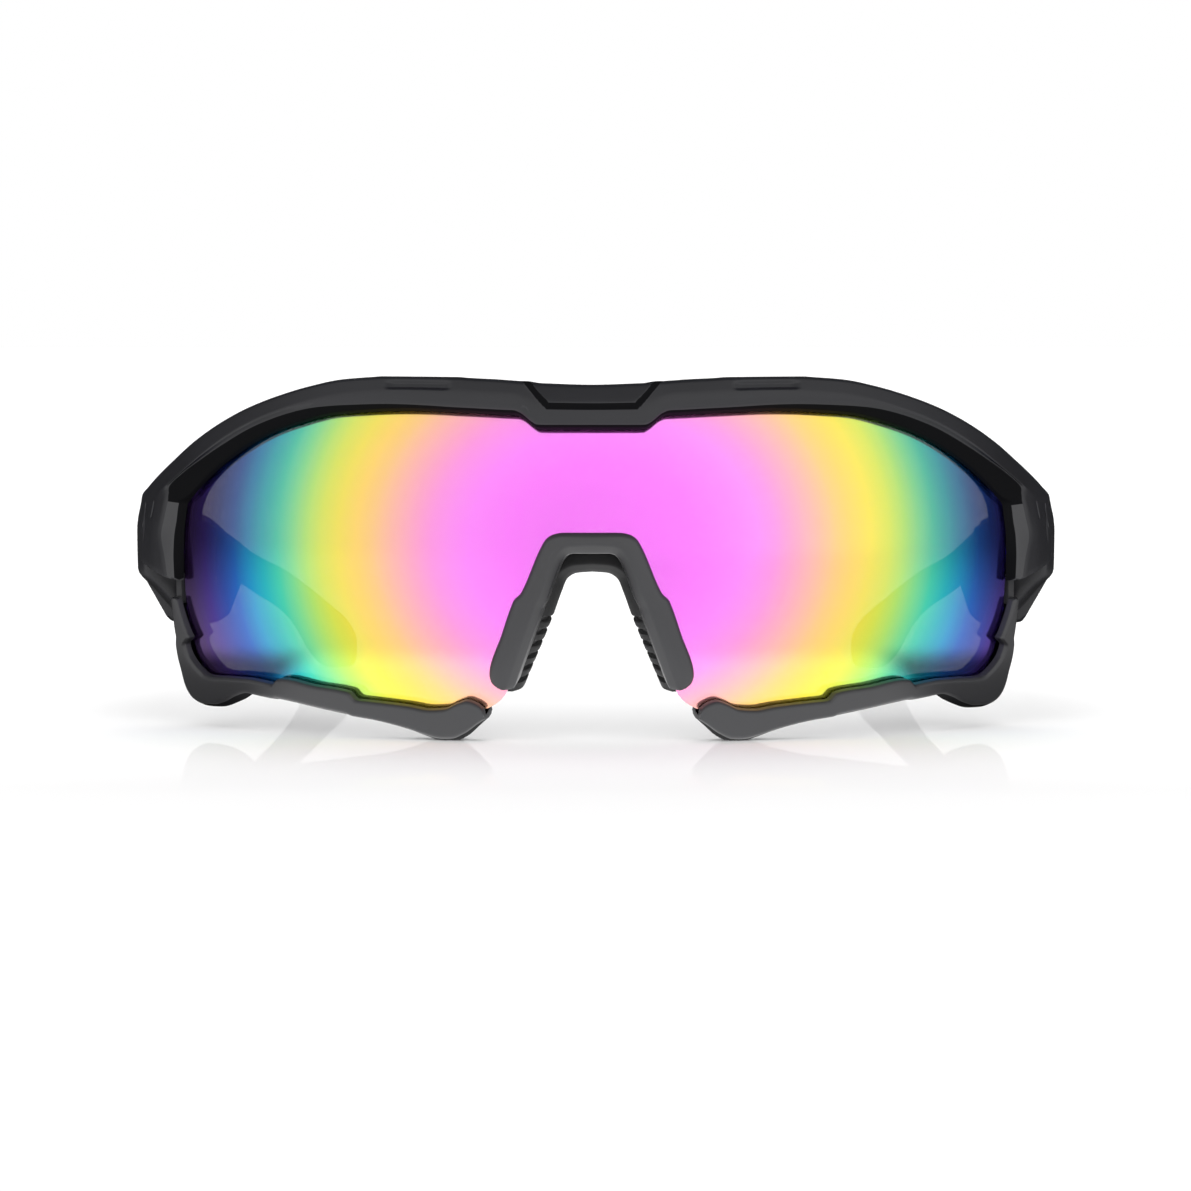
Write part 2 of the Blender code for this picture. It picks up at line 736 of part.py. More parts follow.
def make_temple(name, side):
    body = [s for s in TEMPLE if s[0] <= TIP_START_Y]
    sections = [temple_section(station, side) for station in body]
    mouth = body[-1]
    sections.append(temple_section(mouth, side, CORE_SHARE))
    sections[-1] = [p + Vector((0.0, 0.01, 0.0)) for p in sections[-1]]
    sections += core_sections(side, CORE_SHARE, TIP_START_Y + 1, TIP_CORE_END_Y)
    temple = to_object(name, loft(sections), "frame_black")
    combine(temple, [knuckle_web(side)], "UNION")
    centre = (side * HINGE_X, HINGE_Y)
    hole = cylinder(centre, PIN_HOLE_RADIUS, KNUCKLE[0] - 1, KNUCKLE[1] + 1)
    combine(temple, [hole], "DIFFERENCE")
    return move_origin(temple, side * HINGE_X, HINGE_Y)


def make_tip(name, side):
    rows = [s for s in TEMPLE if s[0] >= TIP_START_Y]
    mouth = (rows[0][0] + GAP, *rows[0][1:])
    sections = [temple_section(mouth, side)]
    sections += [temple_section(station, side) for station in rows[1:]]
    tip = to_object(name, loft(sections), "rubber_black")
    before = temple_section(rows[0], side, CORE_SHARE + 0.16)
    hollow = [[p - Vector((0.0, 1.0, 0.0)) for p in before]]
    hollow += core_sections(side, CORE_SHARE + 0.16, TIP_START_Y, TIP_CORE_END_Y)
    hollow.append([p + Vector((-side * 0.5, 1.2, -0.6)) for p in hollow[-1]])
    combine(tip, [loft(hollow), floor_cutter()], "DIFFERENCE")
    return move_origin(tip, side * HINGE_X, HINGE_Y)


# ---- the hinge hardware ------------------------------------------------------------------
def turned_part(profile, centre, steps=ROUND_STEPS):
    """A body turned about the upright line through centre, from (radius, z) pairs."""
    made = bmesh.new()
    rings = []
    for radius, z in profile:
        ring = []
        for i in range(steps):
            angle = 2 * math.pi * i / steps
            x = centre[0] + radius * math.cos(angle)
            y = centre[1] + radius * math.sin(angle)
            ring.append(made.verts.new((x, y, z)))
        rings.append(ring)
    for ring, following in zip(rings, rings[1:] + rings[:1]):
        for i in range(steps):
            j = (i + 1) % steps
            made.faces.new((ring[i], ring[j], following[j], following[i]))
    return face_outward(made)


def make_screw(name, side):
    """A domed hinge screw with a slot, from above, through all three knuckles."""
    head = EAR_HIGH[1] + GAP
    centre = (side * HINGE_X, HINGE_Y)
    shank = cylinder(centre, PIN_RADIUS, EAR_LOW[0] + 0.2, head + 0.3)
    screw = to_object(name, shank, "steel")
    dome = loft(
        [
            [
                Vector(
                    (
                        centre[0] + radius * math.cos(2 * math.pi * i / ROUND_STEPS),
                        centre[1] + radius * math.sin(2 * math.pi * i / ROUND_STEPS),
                        z,
                    )
                )
                for i in range(ROUND_STEPS)
            ]
            for radius, z in (
                (SCREW_HEAD_RADIUS - 0.2, head),
                (SCREW_HEAD_RADIUS, head + 0.2),
                (SCREW_HEAD_RADIUS, head + 0.5),
                (SCREW_HEAD_RADIUS - 0.6, head + SCREW_HEAD_HEIGHT),
            )
        ]
    )
    combine(screw, [dome], "UNION")
    top = head + SCREW_HEAD_HEIGHT
    slot = box(
        (centre[0] - 2.5, centre[1] - 0.25, top - 0.4),
        (centre[0] + 2.5, centre[1] + 0.25, top + 1.0),
    )
    return combine(screw, [slot], "DIFFERENCE")


def make_insert(name, side):
    """The brass insert that the screw threads into, set in the lower ear."""
    low, high = EAR_LOW[0] + 0.1, EAR_LOW[1] - 0.9 - GAP
    bore = PIN_RADIUS + 0.2
    profile = [
        (bore, low),
        (INSERT_RADIUS, low),
        (INSERT_RADIUS, high),
        (bore, high),
    ]
    return to_object(name, turned_part(profile, (side * HINGE_X, HINGE_Y)), "brass")


def make_washer(name, side, low, high):
    """A nylon friction washer between two knuckles."""
    middle = (low + high) / 2
    bottom, top = middle - WASHER_THICKNESS / 2, middle + WASHER_THICKNESS / 2
    profile = [
        (PIN_RADIUS + 0.25, bottom),
        (KNUCKLE_RADIUS - 0.3, bottom),
        (KNUCKLE_RADIUS - 0.3, top),
        (PIN_RADIUS + 0.25, top),
    ]
    return to_object(name, turned_part(profile, (side * HINGE_X, HINGE_Y)), "nylon")


# ---- the whole object --------------------------------------------------------------------
def main():
    for old in list(bpy.data.objects):
        bpy.data.objects.remove(old)
    make_brow()
    make_lens()
    make_nose_bridge()
    make_nose_saddle()
    for word, side in (("left", 1), ("right", -1)):
        make_rim(f"{word}_lower_rim", side)
        make_temple(f"{word}_temple", side)
        make_tip(f"{word}_ear_tip", side)
        make_screw(f"{word}_hinge_screw", side)
        make_insert(f"{word}_hinge_insert", side)
        make_washer(f"{word}_hinge_washer_low", side, EAR_LOW[1], KNUCKLE[0])
        make_washer(f"{word}_hinge_washer_high", side, KNUCKLE[1], EAR_HIGH[0])


main()
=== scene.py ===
"""Looks for the wraparound sport sunglasses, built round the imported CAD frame.

Lengths in the tables are millimetres and become metres where a mesh is made. A place on the
front is given by x and z on a sphere concentric with the lens, and by a height above the
lens's outer face, so every shell here keeps the lens's own curvature.
"""

import json
import math

import bmesh
import bpy
import numpy as np
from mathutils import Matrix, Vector


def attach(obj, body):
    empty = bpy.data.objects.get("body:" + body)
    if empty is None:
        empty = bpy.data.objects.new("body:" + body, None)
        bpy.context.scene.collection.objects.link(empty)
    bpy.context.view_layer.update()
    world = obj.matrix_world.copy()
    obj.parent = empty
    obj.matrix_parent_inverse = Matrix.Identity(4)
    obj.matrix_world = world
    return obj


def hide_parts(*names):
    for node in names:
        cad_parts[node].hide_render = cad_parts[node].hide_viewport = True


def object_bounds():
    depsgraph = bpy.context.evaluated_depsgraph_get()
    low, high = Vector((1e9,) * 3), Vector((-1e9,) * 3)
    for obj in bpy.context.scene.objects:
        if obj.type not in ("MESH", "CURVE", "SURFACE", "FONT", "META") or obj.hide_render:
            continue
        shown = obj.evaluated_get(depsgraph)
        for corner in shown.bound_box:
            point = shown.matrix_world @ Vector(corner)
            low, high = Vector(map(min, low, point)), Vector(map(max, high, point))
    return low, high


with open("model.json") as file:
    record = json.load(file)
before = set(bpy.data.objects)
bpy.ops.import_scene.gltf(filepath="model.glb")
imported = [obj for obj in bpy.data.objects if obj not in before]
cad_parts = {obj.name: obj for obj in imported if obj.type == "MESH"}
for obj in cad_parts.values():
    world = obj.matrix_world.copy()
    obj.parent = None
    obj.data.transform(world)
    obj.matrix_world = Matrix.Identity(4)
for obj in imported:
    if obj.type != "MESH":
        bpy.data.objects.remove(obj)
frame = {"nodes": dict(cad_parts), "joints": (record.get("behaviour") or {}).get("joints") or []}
CAD_BOX = [list(corner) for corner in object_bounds()]

MM = 0.001
JOINTS = {joint["name"]: joint for joint in frame["joints"]}
CENTRE = Vector(JOINTS["lens_release"]["pos_m"]) / MM  # the middle of the lens's sphere
HINGE = Vector(JOINTS["left_temple_fold"]["pos_m"]) / MM
LENS_RADIUS = 84.0

# ---- outlines on the spheres, wearer's left half: (x, z) pairs -------------------------------
BROW_ON, LENS_ON, RIM_ON, NOSE_ON, SADDLE_ON = 2.8, 2.0, 1.8, 2.0, -10.5

BROW = [
    ((0.0, 56.0), (0.0, 49.5), 0.0),
    ((6.8, 56.2), (7.2, 49.5), 0.0),
    ((8.0, 56.25), (8.5, 49.55), 0.0),
    ((9.6, 56.5), (9.3, 49.95), 0.0),
    ((11.6, 56.7), (11.2, 51.4), 0.0),
    ((13.1, 56.8), (12.2, 51.75), 0.0),
    ((14.4, 56.9), (13.6, 51.8), 0.0),
    ((19.6, 57.15), (18.7, 52.05), 0.0),
    ((20.8, 57.25), (19.9, 52.1), 0.0),
    ((30.6, 57.3), (29.0, 52.4), 0.0),
    ((33.2, 57.3), (32.1, 52.3), 0.0),
    ((34.6, 57.2), (33.2, 52.25), 0.0),
    ((39.8, 56.75), (37.8, 51.9), 0.0),
    ((45.0, 55.65), (42.6, 51.3), 0.0),
    ((50.2, 54.1), (47.4, 50.0), 0.0),
    ((55.6, 52.0), (52.6, 48.0), 0.0),
    ((60.4, 49.45), (57.4, 45.3), 0.0),
    ((64.6, 46.6), (61.6, 42.1), 0.0),
    ((68.6, 43.3), (64.6, 39.3), 0.3),
    ((71.6, 40.75), (66.3, 37.4), 0.8),
    ((73.6, 38.75), (66.9, 36.75), 1.0),
    ((74.9, 37.1), (67.3, 36.2), 1.0),
    ((75.2, 34.2), (67.7, 33.5), 1.0),
    ((75.35, 31.2), (68.0, 30.8), 1.0),
    ((75.3, 28.4), (68.05, 26.6), 1.0),
    ((75.0, 26.6), (68.1, 23.4), 1.0),
]
LENS = [
    ((0.0, 51.4), (0.0, 30.8)),
    ((3.8, 51.4), (3.5, 30.8)),
    ((5.2, 51.4), (4.5, 30.5)),
    ((6.4, 51.4), (5.3, 29.6)),
    ((8.1, 51.4), (8.4, 22.3)),
    ((9.5, 51.9), (10.95, 16.0)),
    ((11.2, 53.6), (13.1, 9.7)),
    ((12.6, 53.9), (13.4, 7.9)),
    ((14.2, 54.0), (14.5, 6.1)),
    ((16.8, 54.2), (16.8, 4.6)),
    ((20.0, 54.3), (20.0, 3.7)),
    ((25.0, 54.5), (25.0, 3.5)),
    ((30.0, 54.6), (30.0, 3.8)),
    ((36.0, 54.2), (36.0, 4.5)),
    ((42.0, 53.4), (42.0, 5.4)),
    ((48.0, 51.9), (48.0, 6.5)),
    ((54.0, 49.5), (54.0, 7.1)),
    ((59.0, 46.4), (58.5, 7.2)),
    ((63.0, 43.0), (62.4, 7.3)),
    ((65.8, 40.4), (64.7, 8.9)),
    ((67.4, 37.6), (66.1, 11.4)),
    ((68.1, 33.0), (67.1, 14.6)),
    ((68.3, 28.0), (67.9, 19.2)),
]
RIM = [
    ((69.6, 20.8), (68.2, 20.6)),
    ((69.5, 18.2), (67.5, 18.2)),
    ((69.35, 15.0), (66.2, 14.9)),
    ((69.3, 14.4), (65.9, 14.4)),
    ((69.15, 12.8), (66.7, 13.2)),
    ((68.95, 10.8), (66.2, 11.5)),
    ((68.6, 8.8), (65.3, 10.2)),
    ((67.7, 4.9), (64.2, 9.1)),
    ((66.3, 2.9), (63.2, 8.4)),
    ((64.5, 2.2), (62.2, 8.2)),
    ((62.2, 2.3), (61.0, 8.2)),
    ((60.0, 3.1), (59.4, 8.3)),
    ((57.9, 4.5), (57.6, 8.3)),
    ((56.1, 5.2), (56.0, 8.3)),
    ((54.0, 4.9), (53.8, 8.1)),
    ((51.6, 4.6), (51.5, 7.8)),
    ((51.0, 4.55), (50.6, 8.6)),
    ((49.4, 4.3), (49.4, 8.7)),
    ((44.8, 3.5), (44.6, 7.9)),
    ((39.5, 2.6), (38.8, 7.1)),
    ((38.3, 2.4), (37.4, 5.9)),
    ((34.8, 1.9), (34.7, 5.7)),
    ((29.2, 0.5), (29.1, 5.2)),
    ((26.6, -0.45), (25.8, 4.7)),
    ((24.3, -1.15), (23.3, 4.9)),
    ((22.4, -1.3), (21.3, 5.8)),
    ((20.2, -0.3), (19.7, 6.3)),
    ((18.0, 1.7), (18.1, 5.8)),
    ((16.7, 2.9), (17.1, 5.0)),
]
NOSE = [
    ((0.0, 33.1), (0.0, 29.8)),
    ((3.4, 33.1), (2.0, 29.8)),
    ((4.6, 33.08), (2.8, 29.8)),
    ((6.0, 32.8), (3.6, 29.6)),
    ((7.1, 32.1), (4.3, 29.0)),
    ((7.8, 31.0), (4.8, 28.2)),
    ((10.9, 23.9), (7.05, 22.3)),
    ((11.2, 23.4), (7.25, 21.9)),
    ((12.15, 22.5), (7.6, 21.2)),
    ((12.6, 21.5), (8.0, 20.0)),
    ((14.1, 17.1), (9.6, 15.6)),
    ((16.1, 10.6), (11.8, 9.5)),
    ((15.8, 9.4), (12.0, 8.9)),
    ((15.0, 8.6), (12.4, 8.2)),
]
THROAT = [(0.0, 26.4), (2.4, 26.2), (3.9, 25.3), (4.8, 23.3), (6.2, 19.4)]
SADDLE_END = (10.7, 8.4)
SADDLE_WALL = 3.0
RIB_COUNT = 6
RIB_HEIGHT = 0.8
VALLEY_DEPTH = 0.95  # as a share of the ribs' height
VALLEY_HALF = 0.25  # half a valley's width, in pitches
VALLEY_SIDE = 0.13  # how much of that its side takes

# Temple: y, inner x, outer x, bottom z, top z, and how far it has turned into the arm.
TEMPLE = [
    (-33.7, 68.4, 75.4, 16.6, 35.0, 0.0),
    (-31.0, 68.4, 75.6, 16.2, 34.8, 0.0),
    (-28.6, 68.4, 75.6, 15.8, 34.6, 0.0),
    (-26.0, 66.4, 75.4, 15.4, 34.3, 0.0),
    (-18.0, 65.6, 74.4, 14.7, 33.4, 0.0),
    (-9.0, 64.9, 72.6, 14.1, 32.3, 0.15),
    (-3.0, 64.6, 71.3, 13.8, 31.5, 0.3),
    (4.0, 64.3, 70.2, 13.5, 30.5, 0.5),
    (14.0, 63.9, 69.0, 13.6, 29.0, 0.8),
    (22.0, 63.5, 68.0, 15.8, 27.7, 1.0),
    (32.0, 63.1, 67.3, 18.4, 26.0, 1.0),
    (42.0, 62.5, 66.7, 17.9, 24.2, 1.0),
    (49.0, 61.6, 65.8, 16.5, 22.9, 1.0),
    (56.0, 60.1, 64.4, 14.7, 21.4, 1.0),
    (63.0, 57.8, 62.2, 12.5, 19.6, 1.0),
    (69.0, 55.0, 59.6, 9.4, 17.0, 1.0),
    (72.0, 53.0, 57.6, 5.8, 15.2, 1.0),
    (74.0, 51.6, 56.2, 2.6, 13.8, 1.0),
    (76.6, 49.3, 53.8, 0.0, 11.6, 1.0),
    (78.6, 47.3, 51.6, 0.0, 9.3, 1.0),
    (79.8, 46.6, 50.4, 0.0, 7.0, 1.0),
    (80.2, 47.0, 49.6, 0.2, 5.0, 1.0),
]
TIP_START_Y = 32.0
TIP_GAP = 0.3  # the thin line between the arm and its rubber

# ---- sections: (share of the width, millimetres more, height, corner radius) -----------------
GROOVE = (0.4, -2.4)
BAR = [
    (0.0, 0.0, GROOVE[0], 0.0),
    (0.0, 0.0, 2.0, 0.25),
    (0.0, 0.6, 2.8, 0.4),
    (0.42, 0.0, 3.3, 3.0),
    (1.0, -0.5, 3.1, 0.35),
    (1.0, 0.0, 2.3, 0.3),
    (1.0, 0.2, -1.0, 2.0),
    (1.0, -0.5, -3.4, 0.6),
    (1.0, -1.3, -4.2, 0.5),
    (0.0, 0.9, -4.2, 0.3),
    (0.0, 0.0, -3.2, 0.3),
    (0.0, 0.0, GROOVE[1], 0.15),
    (0.0, 2.9, GROOVE[1], 0.0),
    (0.0, 2.9, GROOVE[0], 0.0),
]
BLOCK = [
    (0.0, 0.0, GROOVE[0], 0.0),
    (0.0, 0.0, 0.9, 0.2),
    (0.0, 2.6, 2.8, 0.35),
    (0.55, 0.0, 3.0, 3.0),
    (1.0, -0.5, 2.7, 0.35),
    (1.0, 0.0, 2.0, 0.4),
    (1.0, 0.0, -1.0, 2.0),
    (1.0, -0.3, -3.4, 0.4),
    (1.0, -1.3, -4.6, 0.3),
    (0.0, 0.9, -4.6, 0.3),
    (0.0, 0.0, -3.9, 0.3),
    (0.0, 0.0, GROOVE[1], 0.15),
    (0.0, 2.2, GROOVE[1], 0.0),
    (0.0, 2.2, GROOVE[0], 0.0),
]
# The lower edge along the bar, by its x: where the slope meets the face, where it meets the
# wall in front of the groove and how high, and how far up the lip behind the lens stands.
EDGE = [
    (0.0, 0.5, 0.0, 2.0, 0.3),
    (20.0, 0.5, 0.0, 2.0, 0.3),
    (29.0, 0.7, 0.0, 1.9, 0.3),
    (37.8, 1.1, 0.1, 1.7, 0.7),
    (42.6, 1.4, 0.2, 1.5, 1.1),
    (47.4, 1.7, 0.2, 1.4, 1.4),
    (52.6, 1.8, 0.3, 1.3, 1.7),
    (57.4, 1.9, 0.3, 1.2, 1.9),
    (61.6, 2.3, 0.4, 1.2, 2.0),
    (64.6, 2.9, 0.4, 1.2, 2.0),
    (66.3, 3.2, 0.5, 1.2, 2.0),
    (66.9, 2.8, 0.9, 1.4, 1.8),
    (67.3, 2.4, 1.25, 1.6, 1.7),
    (67.7, 2.65, 1.25, 1.6, 1.7),
    (68.0, 2.9, 1.2, 1.8, 1.7),
    (68.05, 2.2, 1.0, 2.1, 1.7),
    (68.1, 1.8, 0.86, 2.1, 1.7),
]
BAR_SPLITS = [2, 2, 22, 28, 2, 3, 3, 1, 6, 1, 1, 3, 1, 2]
BAR_FRONT = (2, 6)  # corners between which the front face can be raised or sunk
BAR_WALL = (10, 1.9)  # corners between which the bar faces the lens
BLOCK_BELOW = 36.3  # the z under which only the wall itself does
RIM_SECTION = [
    (0.0, 0.0, -0.6, 0.9),
    (0.2, 0.2, 1.5, 0.6),
    (0.25, 0.4, 1.8, 0.6),
    (1.0, -0.35, 1.8, 0.15),
    (1.0, 0.0, 1.45, 0.15),
    (1.0, 0.0, GROOVE[0], 0.0),
    (0.15, 0.6, GROOVE[0], 0.0),
    (0.15, 0.6, GROOVE[1], 0.0),
    (1.0, -0.2, GROOVE[1], 0.2),
    (1.0, -0.2, -3.6, 0.3),
    (0.0, 0.6, -3.9, 0.4),
    (0.0, 0.0, -3.2, 0.4),
]
RIM_SPLITS = [3, 1, 6, 1, 1, 2, 1, 2, 1, 6, 1, 2]
NOSE_SECTION = [
    (0.0, 0.0, 0.9, 0.3),
    (0.0, 1.25, 2.15, 0.25),
    (0.5, 0.0, 2.3, 2.5),
    (1.0, -0.6, 2.1, 0.4),
    (1.0, 0.0, 1.5, 0.4),
    (1.0, 0.0, GROOVE[0], 0.0),
    (0.2, -0.35, GROOVE[0], 0.0),
    (0.2, -0.35, GROOVE[1], 0.0),
    (0.8, 0.0, GROOVE[1], 0.3),
    (0.8, 0.0, -4.0, 0.4),
    (0.0, 0.0, -4.0, 0.5),
]
NOSE_SPLITS = [1, 3, 3, 1, 2, 3, 2, 2, 2, 3, 3]
SADDLE_SECTION = [
    (0.30, 0.0, -4.4, 0.3),
    (0.0, 0.0, -8.0, 1.5),
    (0.0, 0.0, -12.0, 1.2),
    (0.35, 0.0, -14.6, 1.0),
    (0.75, 0.0, -15.4, 0.8),
    (1.15, 0.0, -14.2, 0.8),
    (1.20, 0.0, -9.0, 1.5),
    (1.10, 0.0, -4.4, 0.3),
]
SADDLE_SPLITS = [4, 6, 3, 2, 2, 4, 4, 3]
# Temple sections: (0 inner to 1 outer, 0 bottom to 1 top, corner radius).
HINGE_END = [
    (0.0, 0.06, 0.3),
    (0.1, 0.0, 0.3),
    (0.3, 0.0, 0.8),
    (0.95, 0.44, 1.4),
    (1.0, 0.52, 1.4),
    (1.0, 0.80, 1.2),
    (0.92, 0.94, 0.8),
    (0.74, 1.0, 0.7),
    (0.1, 1.0, 0.5),
    (0.0, 0.95, 0.4),
]
ARM = [
    (0.0, 0.25, 1.2),
    (0.22, 0.02, 1.0),
    (0.5, 0.0, 1.2),
    (0.82, 0.06, 1.0),
    (1.0, 0.3, 1.2),
    (1.0, 0.72, 1.2),
    (0.85, 0.94, 1.0),
    (0.6, 1.0, 1.2),
    (0.25, 0.98, 1.0),
    (0.0, 0.78, 1.2),
]
ARM_SPLITS = [2, 2, 3, 4, 3, 2, 2, 4, 2, 5]


WIDE_CORNER = 2.4  # the radius over which a corner counts as wide
WIDE_ARC, NARROW_ARC = 16, 4  # points round a wide corner, and round any other


# ---- curves ----------------------------------------------------------------------------------
def smooth(places, values, wanted):
    """A curve through every value that never overshoots them, read at the wanted places."""
    places, values = np.asarray(places, float), np.asarray(values, float)
    steps = np.diff(places)[:, None]
    slopes = np.diff(values, axis=0) / steps
    before, after = slopes[:-1], slopes[1:]
    near, far = steps[:-1], steps[1:]
    w1, w2 = 2 * far + near, far + 2 * near
    with np.errstate(divide="ignore", invalid="ignore"):
        inner = (w1 + w2) / (w1 / before + w2 / after)
    inner = np.where(before * after > 0, inner, 0.0)
    tangents = np.vstack([slopes[:1], inner, slopes[-1:]])
    index = np.clip(np.searchsorted(places, wanted, side="right") - 1, 0, len(steps) - 1)
    h = steps[index]
    t = (np.asarray(wanted)[:, None] - places[index][:, None]) / h
    p0, p1 = values[index], values[index + 1]
    m0, m1 = tangents[index] * h, tangents[index + 1] * h
    t2, t3 = t * t, t * t * t
    return (
        p0 * (2 * t3 - 3 * t2 + 1)
        + m0 * (t3 - 2 * t2 + t)
        + p1 * (3 * t2 - 2 * t3)
        + m1 * (t3 - t2)
    )


def ease(t):
    t = min(max(t, 0.0), 1.0)
    return t * t * (3 - 2 * t)


def finer(places, spacing):
    """The given places and enough between them that no step is over the spacing."""
    result = [places[0]]
    for a, b in zip(places, places[1:]):
        middle = (a + b) / 2
        step = spacing(middle) if callable(spacing) else spacing
        count = max(1, math.ceil((b - a) / step))
        result += [a + (b - a) * i / count for i in range(1, count + 1)]
    return result


def cut_corner(before, here, after, radius):
    """Where a rounded corner starts and ends, which takes under half of either side."""
    a, b = before - here, after - here
    la, lb = max(a.length, 1e-6), max(b.length, 1e-6)
    cut = min(radius, 0.46 * la, 0.46 * lb)
    return here + a / la * cut, here + b / lb * cut


def rounded(corners, splits):
    """A closed 2-D outline with its corners rounded, and each side split evenly.

    corners are (u, h, radius). Returns the points and, for each, the corner it follows."""
    count = len(corners)
    points = [Vector(corner[:2]) for corner in corners]
    cuts = [
        cut_corner(points[i - 1], points[i], points[(i + 1) % count], corners[i][2])
        for i in range(count)
    ]
    result, owner = [], []
    for i, (here, (start, end)) in enumerate(zip(points, cuts)):
        arc = WIDE_ARC if corners[i][2] > WIDE_CORNER else NARROW_ARC
        for k in range(arc):
            t = k / (arc - 1)
            result.append(start * (1 - t) ** 2 + here * 2 * t * (1 - t) + end * t * t)
            owner.append(i)
        goal = cuts[(i + 1) % count][0]
        for k in range(1, splits[i]):
            result.append(end.lerp(goal, k / splits[i]))
            owner.append(i + k / splits[i])
    return result, owner


# ---- placing points --------------------------------------------------------------------------
def on_sphere(x, z, drawn_on, height):
    radius = LENS_RADIUS + drawn_on
    down = z - CENTRE.z
    ahead = -math.sqrt(radius * radius - x * x - down * down)
    return CENTRE + Vector((x, ahead, down)) / radius * (LENS_RADIUS + height)


def across(start, end, share, more):
    start, end = Vector(start), Vector(end)
    return start.lerp(end, share) + (end - start).normalized() * more


def mirrored(stations):
    """Stations for x >= 0 carried over to the other half."""
    return [flip(station) for station in reversed(stations[1:])] + list(stations)


def flip(station):
    return tuple((-v[0], v[1]) if isinstance(v, tuple) else v for v in station)


# ---- meshes ----------------------------------------------------------------------------------
def skin(rings, cap=0.0, closed=False, paint=None):
    """A closed body through equal rings, its two flat ends bevelled by `cap` millimetres.

    paint holds a material index for each ring and each point in it."""
    made = bmesh.new()
    rows = [[made.verts.new(point) for point in ring] for ring in rings]
    count = len(rows[0])
    pairs = list(zip(rows, rows[1:]))
    if closed:
        pairs.append((rows[-1], rows[0]))
    for k, (ring, following) in enumerate(pairs):
        for i in range(count):
            j = (i + 1) % count
            face = made.faces.new((ring[i], ring[j], following[j], following[i]))
            if paint:
                face.material_index = paint[k][i]
    if not closed:
        ends = [made.faces.new(rows[0]), made.faces.new(list(reversed(rows[-1])))]
        if cap:
            edges = list({edge for face in ends for edge in face.edges})
            bmesh.ops.bevel(
                made, geom=edges, offset=cap, segments=3, profile=0.6, affect="EDGES"
            )
        ends = [face for face in made.faces if len(face.verts) > 4]
        bmesh.ops.triangulate(made, faces=ends, ngon_method="EAR_CLIP")
    return outward(made)


def outward(made):
    bmesh.ops.recalc_face_normals(made, faces=made.faces)
    if made.calc_volume(signed=True) < 0:
        bmesh.ops.reverse_faces(made, faces=made.faces)
    return made


def to_object(name, parts, materials, sharp=38):
    """Joins bmeshes in millimetres into one smooth-shaded object in metres."""
    whole = bpy.data.meshes.new(name)
    joined = bmesh.new()
    for part in parts:
        part.to_mesh(whole)
        part.free()
        joined.from_mesh(whole)
    bmesh.ops.scale(joined, vec=(MM, MM, MM), verts=joined.verts)
    joined.to_mesh(whole)
    joined.free()
    whole.shade_smooth()
    whole.set_sharp_from_angle(angle=math.radians(sharp))
    result = bpy.data.objects.new(name, whole)
    bpy.context.scene.collection.objects.link(result)
    for material in materials:
        whole.materials.append(material)
    return result


def shell(stations, drawn_on, splits, spacing, cap=0.0, shape=None, tint=None):
    """A body swept along the sphere. Each station is (inner, outer, section corners).

    shape(x, share, width, corner) adds to a point's height, and tint, given the same and z,
    is the material index of the face that starts there."""
    numbers = []
    for inner, outer, section in stations:
        flat = [value for corner in section for value in corner]
        numbers.append([*inner, *outer, *flat])
    numbers = np.array(numbers)
    middle = (numbers[:, 0:2] + numbers[:, 2:4]) / 2
    outer_run = np.linalg.norm(np.diff(numbers[:, 2:4], axis=0), axis=1)
    middle_run = np.linalg.norm(np.diff(middle, axis=0), axis=1)
    places = np.concatenate([[0.0], np.cumsum(np.maximum(outer_run, middle_run))])
    wanted = finer(list(places), spacing)
    rings, paint = [], []
    for row in smooth(places, numbers, wanted):
        inner, outer = Vector(row[0:2]), Vector(row[2:4])
        width = (outer - inner).length
        corners = []
        for share, more, height, radius in row[4:].reshape(-1, 4):
            corners.append((share * width + more, height, radius))
        points, owner = rounded(corners, splits)
        ring, tints = [], []
        for point, corner in zip(points, owner):
            place = inner + (outer - inner).normalized() * point.x
            height = point.y
            where = (place.x, point.x / width, width, corner)
            if shape:
                height += shape(*where)
            tints.append(tint(*where, place.y) if tint else 0)
            ring.append(on_sphere(place.x, place.y, drawn_on, height))
        rings.append(ring)
        paint.append(tints)
    return skin(rings, cap, paint=paint)


def ring_xy(outline, z, side=1):
    return [Vector((side * x, y, z)) for x, y in outline]


# ---- materials -------------------------------------------------------------------------------
def between(tree, source, low, high, start, end):
    """Goes smoothly from start to end as the source goes from low to high."""
    node = tree.nodes.new("ShaderNodeMapRange")
    node.interpolation_type = "SMOOTHSTEP"
    node.inputs["From Min"].default_value = low
    node.inputs["From Max"].default_value = high
    for name, value in (("To Min", start), ("To Max", end)):
        if isinstance(value, float):
            node.inputs[name].default_value = value
        else:
            tree.links.new(value, node.inputs[name])
    tree.links.new(source, node.inputs["Value"])
    return node.outputs["Result"]


